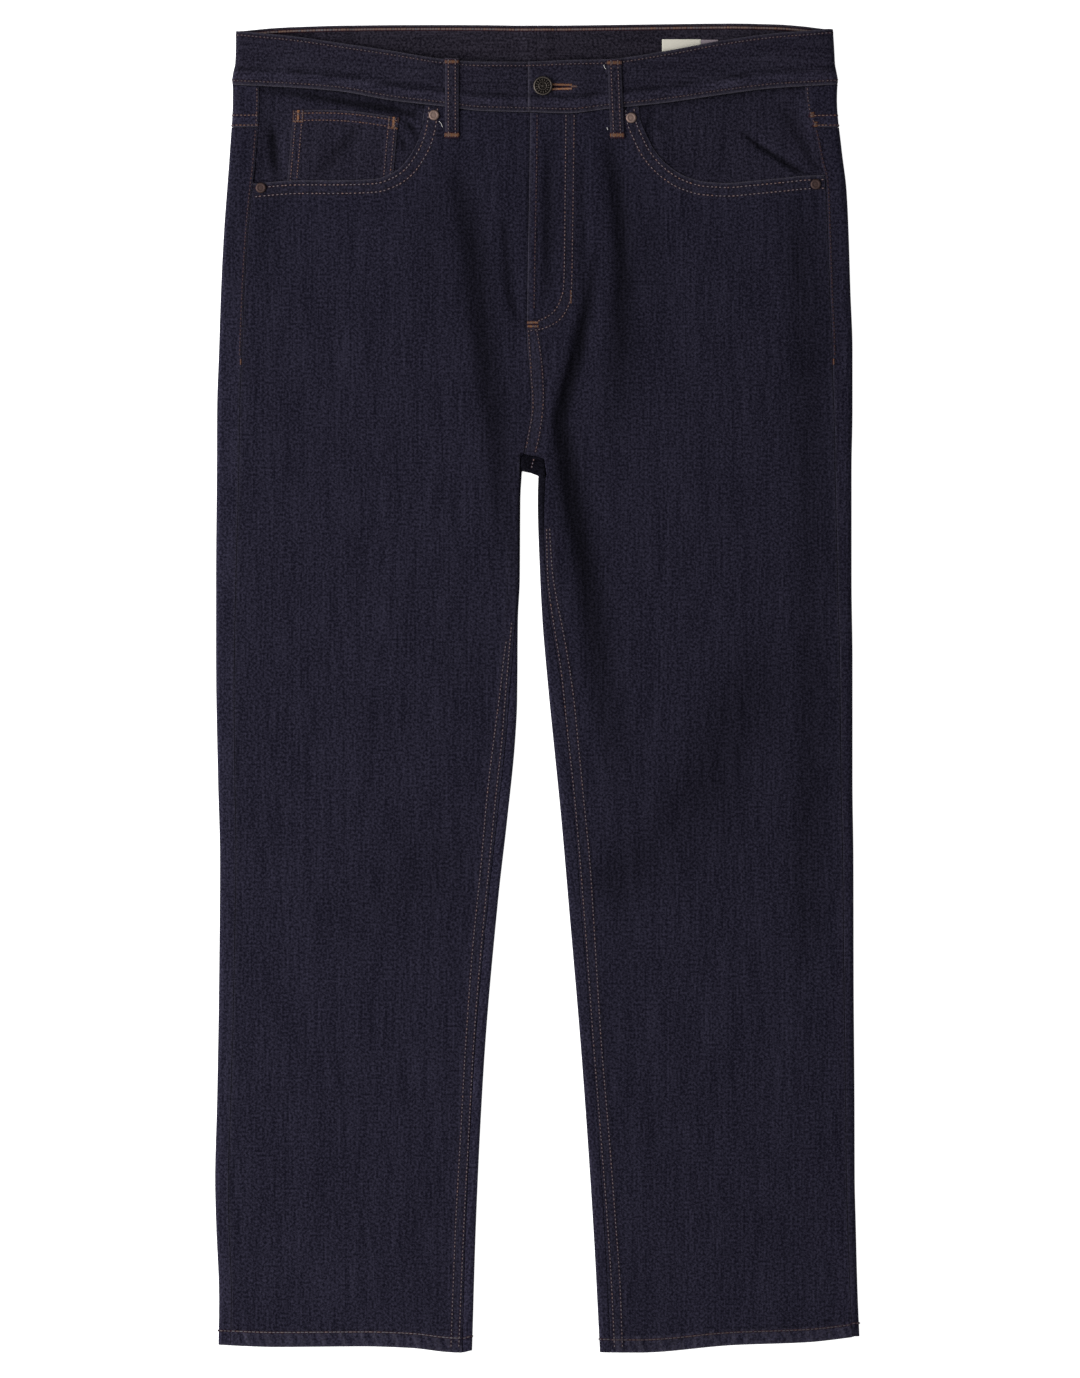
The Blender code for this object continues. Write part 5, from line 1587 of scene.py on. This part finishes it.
def makeBackPocket(side):
    name, look = "pocket_back_" + side, pocketLook
    rows = resting(backPocketRows(side))
    uv = np.stack([-rows[..., 0], rows[..., 1]], axis=-1) * mm
    worn = edgeWear(rows, **look["wear"])
    sheet = makeSheet(name, rows, uv, cloth["pocketing"], denim, down=True, wear=worn)
    sheets[name] = (sheet, rows, -1)
    for edge in ("first", "last", "foot"):
        for distance in look["rows"]:
            layEdge(name, rows, distance, -1, edge=edge, **look["sewn"])
    for distance in look["topRows"]:
        layEdge(name, rows, distance, -1, edge="top", **look["sewn"])


loopLook = {
    "wear": {"foot": 0.3, "top": 0.4, "first": 0.3, "last": 0.35},
    "behindWear": {"foot": 0.4, "top": 0.6, "first": 0.55, "last": 0.55},
    "sewn": {"tone": 0.15, "bright": 0.64, "pitch": 3.0},
    "rowIn": 3.0,
    "topTack": {"length": loopWide + 0.8, "width": 3.9, "tone": 0.8, "bright": 0.5},
    "footTack": {"length": 12.2, "width": 4.8, "tone": 0.85, "bright": 0.58},
}


def makeFrontLoop(side):
    name, look = "belt_loop_front_" + side, loopLook
    rows = frontLoopRows(side)
    worn = edgeWear(rows, **look["wear"])
    sheet = makeSheet(name, rows, rows[..., :2] * mm, cloth["loop"], denim, wear=worn)
    markInside(sheet, *greyed["loop"])
    sheets[name] = (sheet, rows, 1)
    for edge in ("first", "last"):
        layEdge(name, rows, look["rowIn"], 1, edge=edge, **look["sewn"])
    xTop, xFoot, yTop, yFoot = frontLoops[side]
    band, front = sheets["waistband_" + side][0], sheets["front_" + side][0]
    layTack(name, sheet, xTop, yTop - 3.0, 0, under=band, **look["topTack"])
    layTack(name, sheet, xFoot, yFoot + 2.6, 0, under=front, **look["footTack"])


def makeBackLoop(place):
    name, look = "belt_loop_back_" + place, loopLook
    rows = resting(backLoopRows(place))
    uv = np.stack([-rows[..., 0], rows[..., 1]], axis=-1) * mm
    worn = edgeWear(rows, **look["behindWear"])
    sheet = makeSheet(name, rows, uv, cloth["wall"], denim, down=True, wear=worn)
    sheets[name] = (sheet, rows, -1)
    for edge in ("first", "last"):
        layEdge(name, rows, look["rowIn"], -1, edge=edge, **look["sewn"])


coinLook = {
    "wear": {"top": 0.65, "first": 0.35, "last": 0.35},
    "side": {"tone": 0.22, "bright": 0.6, "pitch": 2.8},
    "sideRows": (2.6, 8.0),
    "top": {"tone": 0.35, "bright": 0.52, "pitch": 3.0, "long": 3.6},
    "topRows": (2.8, 8.9),
    "tacks": ((-203.0, 486.2), (-122.0, 480.4)),
    # each tack is two bars along the mouth, two across it and a core
    "along": {"angle": -3, "length": 8.5, "width": 1.8, "tone": 0.75, "bright": 0.5},
    "across": {"angle": 87, "length": 11.6, "width": 1.6, "tone": 0.4, "bright": 0.45},
    "core": {"angle": 87, "length": 9.0, "width": 3.0, "tone": 1.0, "bright": 0.85},
}


def makeCoinPocket():
    name, look = "coin_pocket", coinLook
    rows = coinRows()
    worn = edgeWear(rows, **look["wear"])
    x, y = rows[..., 0], rows[..., 1]
    folds, ridges = creaseShading("right", x, y)
    fromTop = lengthsAlong(rows.transpose(1, 0, 2)).T
    fromTop = fromTop[-1:] - fromTop
    fromSide = lengthsAlong(rows)
    fromSide = np.minimum(fromSide, fromSide[:, -1:] - fromSide)
    # painted light on the strips between the rows of sewing, painted shade in the creases
    lit = np.maximum(0.35 * window(fromTop, 3.0, 8.6, 1.4), 0.15 * window(fromSide, 2.8, 7.8, 1.4))
    dark = np.clip(np.clip(folds - ridges, 0, 1) - lit, -0.6, 1)
    sheet = makeSheet(name, rows, rows[..., :2] * mm, cloth["coin"], denim, wear=worn, fold=dark)
    markInside(sheet, *greyed["coin"])
    sheets[name] = (sheet, rows, 1)
    for edge in ("first", "last"):
        for distance in look["sideRows"]:
            layEdge(name, rows, distance, 1, edge=edge, **look["side"])
    for distance in look["topRows"]:
        layEdge(name, rows, distance, 1, edge="top", **look["top"])
    for x, y in look["tacks"]:
        for way in (-1, 1):
            layTack(name, sheet, x, y + way * 5.2, **look["along"])
            layTack(name, sheet, x + way * 3.9, y, **look["across"])
        layTack(name, sheet, x, y, **look["core"])


# x and y of the sides, material, slot
labels = {
    "label": ((106.0, 139.0), (528.0, 551.0), labelCloth, "label_cloth"),
    "label_tab": ((139.3, 153.6), (530.0, 550.6), tabCloth, "tab_cloth"),
}
labelShape = {"level": 2.95, "wave": 0.2, "wall": 0.4, "rim": 0.12}


def makeLabel(name):
    (x0, x1), (y0, y1), material, slot = labels[name]
    x, y = np.meshgrid(np.linspace(x0, x1, 24), np.linspace(y0, y1, 18))
    z = labelShape["level"] + labelShape["wave"] * np.sin((x - x0) / 9) * np.sin((y - y0) / 13)
    rows = pointsOf(x, y, z)
    uv = rows[..., :2] * mm
    sheet = makeSheet(name, rows, uv, labelShape["wall"], material, bevel=labelShape["rim"])
    sheets[name] = (sheet, rows, 1)


for side in sides:
    makeFront(side)
print("fronts made")
for side in sides:
    makeBack(side)
print("backs made")
for side in sides:
    for make in (makeYoke, makeBand, makeFacing, makeBackPocket, makeFrontLoop):
        make(side)
for place in backLoops:
    makeBackLoop(place)
makeCoinPocket()
for name in labels:
    makeLabel(name)
print("small pieces made")


hole = {
    "start": 6.0,
    "end": 30.5,
    "y": 510.2,
    "wide": 1.4,
    "narrow": 0.15,
    "thread": 2.6,
    "cutter": 20.0,
    "sewnFrom": 12.5,  # clear of the button
    "step": 0.72,
    "tone": 0.85,
    "bright": {-1: 0.9, 1: 0.65},
    "bar": {"length": 5.4, "width": 2.5, "tone": 0.45},
}


def cutButtonhole(band):
    # a slit that narrows towards the side
    bpy.ops.object.select_all(action="DESELECT")
    middle = ((hole["start"] + hole["end"]) / 2 * mm, hole["y"] * mm, bandTop["left"] * mm)
    bpy.ops.mesh.primitive_cube_add(size=mm, location=middle)
    cutter = bpy.context.object
    bpy.ops.object.mode_set(mode="EDIT")
    size = (hole["end"] - hole["start"], hole["wide"], hole["cutter"])
    bpy.ops.transform.resize(value=size, center_override=middle)
    bpy.ops.object.mode_set(mode="OBJECT")
    for vertex in cutter.data.vertices:
        if vertex.co.x > 0:
            vertex.co.y *= hole["narrow"] / hole["wide"]
    cut = band.modifiers.new("buttonhole", "BOOLEAN")
    cut.object = cutter
    bpy.ops.object.select_all(action="DESELECT")
    bpy.context.view_layer.objects.active = band
    bpy.ops.object.modifier_apply(modifier="buttonhole")
    bpy.data.objects.remove(cutter)


def sewButtonhole(name, band):
    # close stitches over both lips, and a bar where they meet
    for lip in (-1, 1):
        x = np.arange(hole["sewnFrom"], hole["end"] - 1.0, hole["step"])
        half = mix(hole["wide"], hole["narrow"], (x - hole["start"]) / (hole["end"] - hole["start"])) / 2
        y = hole["y"] + lip * (half + 0.55 * hole["thread"])
        points, normals = castLine(band, np.stack([x, y], axis=1))
        along = np.tile([0.25 * lip, 1.0, 0.0], (len(points), 1))
        along = along + 0.06 * chance.standard_normal((len(points), 3))
        long, thick, bright = hole["thread"] * tack["reach"], tack["thick"], hole["bright"][lip]
        addSpots(name, points, along, normals, long, thick, hole["tone"], tack["vary"], bright)
    layTack(name, band, hole["end"] + 1.0, hole["y"] + 0.3, 0, **hole["bar"])


metalEdge = {"soft": 0.12, "angle": 22, "smooth": 35, "rubbed": 0.62}


def makeTurned(node, material, slot, around, steps, shank=0.0, rays=None):
    # a round head shaped by insets: each step is how far in, then how far up
    low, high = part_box(node)
    middle = [(a + b) / 2 for a, b in zip(low, high)]
    radius = (high[0] - low[0]) / 2
    height = high[2] - low[2]
    head = height - max(np.cumsum([rise for _, rise in steps])) * mm - shank * mm
    bpy.ops.object.select_all(action="DESELECT")
    place = (middle[0], middle[1], low[2] + shank * mm + head / 2)
    bpy.ops.mesh.primitive_cylinder_add(vertices=around, radius=radius, depth=head, location=place)
    piece = bpy.context.object
    piece.name = piece.data.name = node + "_metal"
    bpy.ops.object.mode_set(mode="EDIT")
    bpy.ops.mesh.select_mode(type="FACE")
    if shank:
        bpy.ops.mesh.select_all(action="DESELECT")
        mesh = bmesh.from_edit_mesh(piece.data)
        for face in mesh.faces:
            face.select_set(face.normal.z < -0.9)
        bmesh.update_edit_mesh(piece.data)
        bpy.ops.mesh.inset(thickness=radius * 0.72)
        bpy.ops.mesh.extrude_region_move(TRANSFORM_OT_translate={"value": (0, 0, -shank * mm)})
    bpy.ops.mesh.select_all(action="DESELECT")
    mesh = bmesh.from_edit_mesh(piece.data)
    for face in mesh.faces:
        face.select_set(face.normal.z > 0.9)
    bmesh.update_edit_mesh(piece.data)
    for inset, rise in steps:
        bpy.ops.mesh.inset(thickness=inset * mm)
        bpy.ops.transform.translate(value=(0, 0, rise * mm))
    bpy.ops.object.mode_set(mode="OBJECT")
    if rays:
        addRays(piece, middle, high[2] - rays["down"] * mm, **rays)
    soften = piece.modifiers.new("soften", "BEVEL")
    soften.width = metalEdge["soft"] * mm
    soften.segments = 2
    soften.limit_method = "ANGLE"
    soften.angle_limit = math.radians(metalEdge["angle"])
    bpy.context.view_layer.objects.active = piece
    bpy.ops.object.modifier_apply(modifier="soften")
    bpy.ops.object.transform_apply(location=True, rotation=True, scale=True)
    bpy.ops.object.shade_smooth_by_angle(angle=math.radians(metalEdge["smooth"]))
    levels = np.array([vertex.co.z for vertex in piece.data.vertices])
    rubbed = metalEdge["rubbed"] * mm
    setValues(piece.data, "rim", np.clip((levels - (high[2] - rubbed)) / rubbed, 0, 1))
    piece.data.materials.append(material)
    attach(piece, "root")
    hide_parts(node)


def addRays(piece, middle, level, count, inner, outer, wide, down, bead):
    # a plain sunburst of short bars between two rings of beads
    made = [piece]
    for ring, radius, each in (("bar", (inner + outer) / 2, count), ("bead", bead, count // 2)):
        for k in range(each):
            turn, out = 2 * math.pi * (k + 0.25) / each, radius * mm
            place = (middle[0] + out * math.cos(turn), middle[1] + out * math.sin(turn), level)
            bpy.ops.object.select_all(action="DESELECT")
            if ring == "bar":
                bpy.ops.mesh.primitive_cube_add(size=1, location=place, rotation=(0, 0, turn))
                bpy.context.object.scale = ((outer - inner) * mm, wide * mm, wide * mm)
            else:
                size = 0.5 * wide * mm
                bpy.ops.mesh.primitive_uv_sphere_add(segments=8, ring_count=6, radius=size, location=place)
            bpy.ops.object.transform_apply(location=False, rotation=True, scale=True)
            made.append(bpy.context.object)
    bpy.ops.object.select_all(action="DESELECT")
    for part in made:
        part.select_set(True)
    bpy.context.view_layer.objects.active = piece
    bpy.ops.object.join()


cutButtonhole(sheets["waistband_left"][0])
sewButtonhole("waistband_left", sheets["waistband_left"][0])
buttonLook = {
    "around": 64,
    "shank": 2.5,
    "steps": (
        (0.5, 0.5), (0.4, 0.2), (0.4, 0), (0.4, -0.6), (2.6, 0), (0.35, 0.4), (0.3, 0.05), (0.4, -0.4),
        (1.6, 0), (0.5, 0.3),
    ),
    "rays": {"count": 16, "inner": 4.3, "outer": 6.1, "wide": 0.85, "down": 0.62, "bead": 2.05},
}
rivetLook = {
    "around": 28,
    "steps": ((0.35, 0.35), (0.45, 0.2), (0.75, 0.08), (0.35, -0.14), (0.5, -0.06), (0.8, 0.12)),
}
makeTurned("button", buttonMetal, "button_metal", **buttonLook)
for side in sides:
    makeTurned("rivet_" + side + "_upper", brightRivet, "rivet_metal", **rivetLook)
    makeTurned("rivet_" + side + "_lower", darkRivet, "rivet_metal", **rivetLook)

# loose ends of thread by the loops: x, y of each bend
looseEnds = (
    ((-83.0, 480.8), (-81.6, 479.2), (-80.6, 476.6)),
    ((56.6, 528.4), (57.2, 526.6), (58.0, 525.6)),
    ((59.4, 475.6), (59.8, 474.2)),
)
for k, end in enumerate(looseEnds):
    line = evenLine(smoothLine(end, 0.5), 0.5)
    side = "right" if k == 0 else "left"
    carrier = sheets["front_" + side][0] if end[0][1] < 485 else sheets["waistband_" + side][0]
    points, normals = castLine(carrier, line)
    along = np.gradient(points, axis=0)
    addSpots("loose_thread", points + normals * 0.3, along, normals, long=1.2, wide=0.42, tone=0.5)
print("metal made")

# each piece of cloth: its stitching made and its cut size printed
for name in sheets:
    declare(name)
makeStitching("loose_thread").data.materials[0] = makeTape("whiteThread")
print("sewing made")


stage = {
    "floor": 24.0,
    "floorLevel": -0.0002,
    "floorColour": (0.9, 0.9, 0.9, 1),
    "floorGlow": 0.85,
    "world": 0.28,
    # place, size, power
    "lamps": {"key": ((-2.36, 0.03, 1.52), 2.4, 109.0), "fill": ((0.31, -1.78, 1.0), 1.4, 5.1)},
    "aim": (0.05, 0, 0),
    "lens": 200.0,
    "sensor": 36.0,
    "frame": 1170.2,  # how much the view takes in from top to bottom
    "centre": (2.35, -0.85),
    "middle": 4,  # height that the frame is measured at
}


def makeFloor():
    bpy.ops.object.select_all(action="DESELECT")
    bpy.ops.mesh.primitive_plane_add(size=stage["floor"], location=(0, 0, stage["floorLevel"]))
    floor = bpy.context.object
    floor.name = "floor"
    material, _, shader = newMaterial("paleFloor")
    shader.inputs["Base Color"].default_value = stage["floorColour"]
    shader.inputs["Roughness"].default_value = 0.9
    shader.inputs["Specular IOR Level"].default_value = 0.1
    shader.inputs["Emission Color"].default_value = (1, 1, 1, 1)
    shader.inputs["Emission Strength"].default_value = stage["floorGlow"]
    floor.data.materials.append(material)


def makeLight():
    world = bpy.data.worlds.new("studio")
    bpy.context.scene.world = world
    world.use_nodes = True
    world.node_tree.nodes["Background"].inputs["Color"].default_value = (1, 1, 1, 1)
    world.node_tree.nodes["Background"].inputs["Strength"].default_value = stage["world"]
    for name, (place, size, power) in stage["lamps"].items():
        lamp = bpy.data.lights.new(name, "AREA")
        lamp.size = size
        lamp.energy = power
        obj = bpy.data.objects.new(name, lamp)
        bpy.context.scene.collection.objects.link(obj)
        obj.location = place
        toward = Vector(stage["aim"]) - Vector(place)
        obj.rotation_euler = toward.to_track_quat("-Z", "Y").to_euler()


def makeCamera():
    camera = bpy.data.cameras.new("camera")
    camera.lens = stage["lens"]
    camera.sensor_width = stage["sensor"]
    obj = bpy.data.objects.new("camera", camera)
    bpy.context.scene.collection.objects.link(obj)
    distance = stage["frame"] / stage["sensor"] * stage["lens"]
    x, y = stage["centre"]
    obj.location = (x * mm, y * mm, (distance + stage["middle"]) * mm)
    bpy.context.scene.camera = obj
    bpy.context.scene.view_settings.view_transform = "Standard"


makeFloor()
makeLight()
makeCamera()
print("stage set")
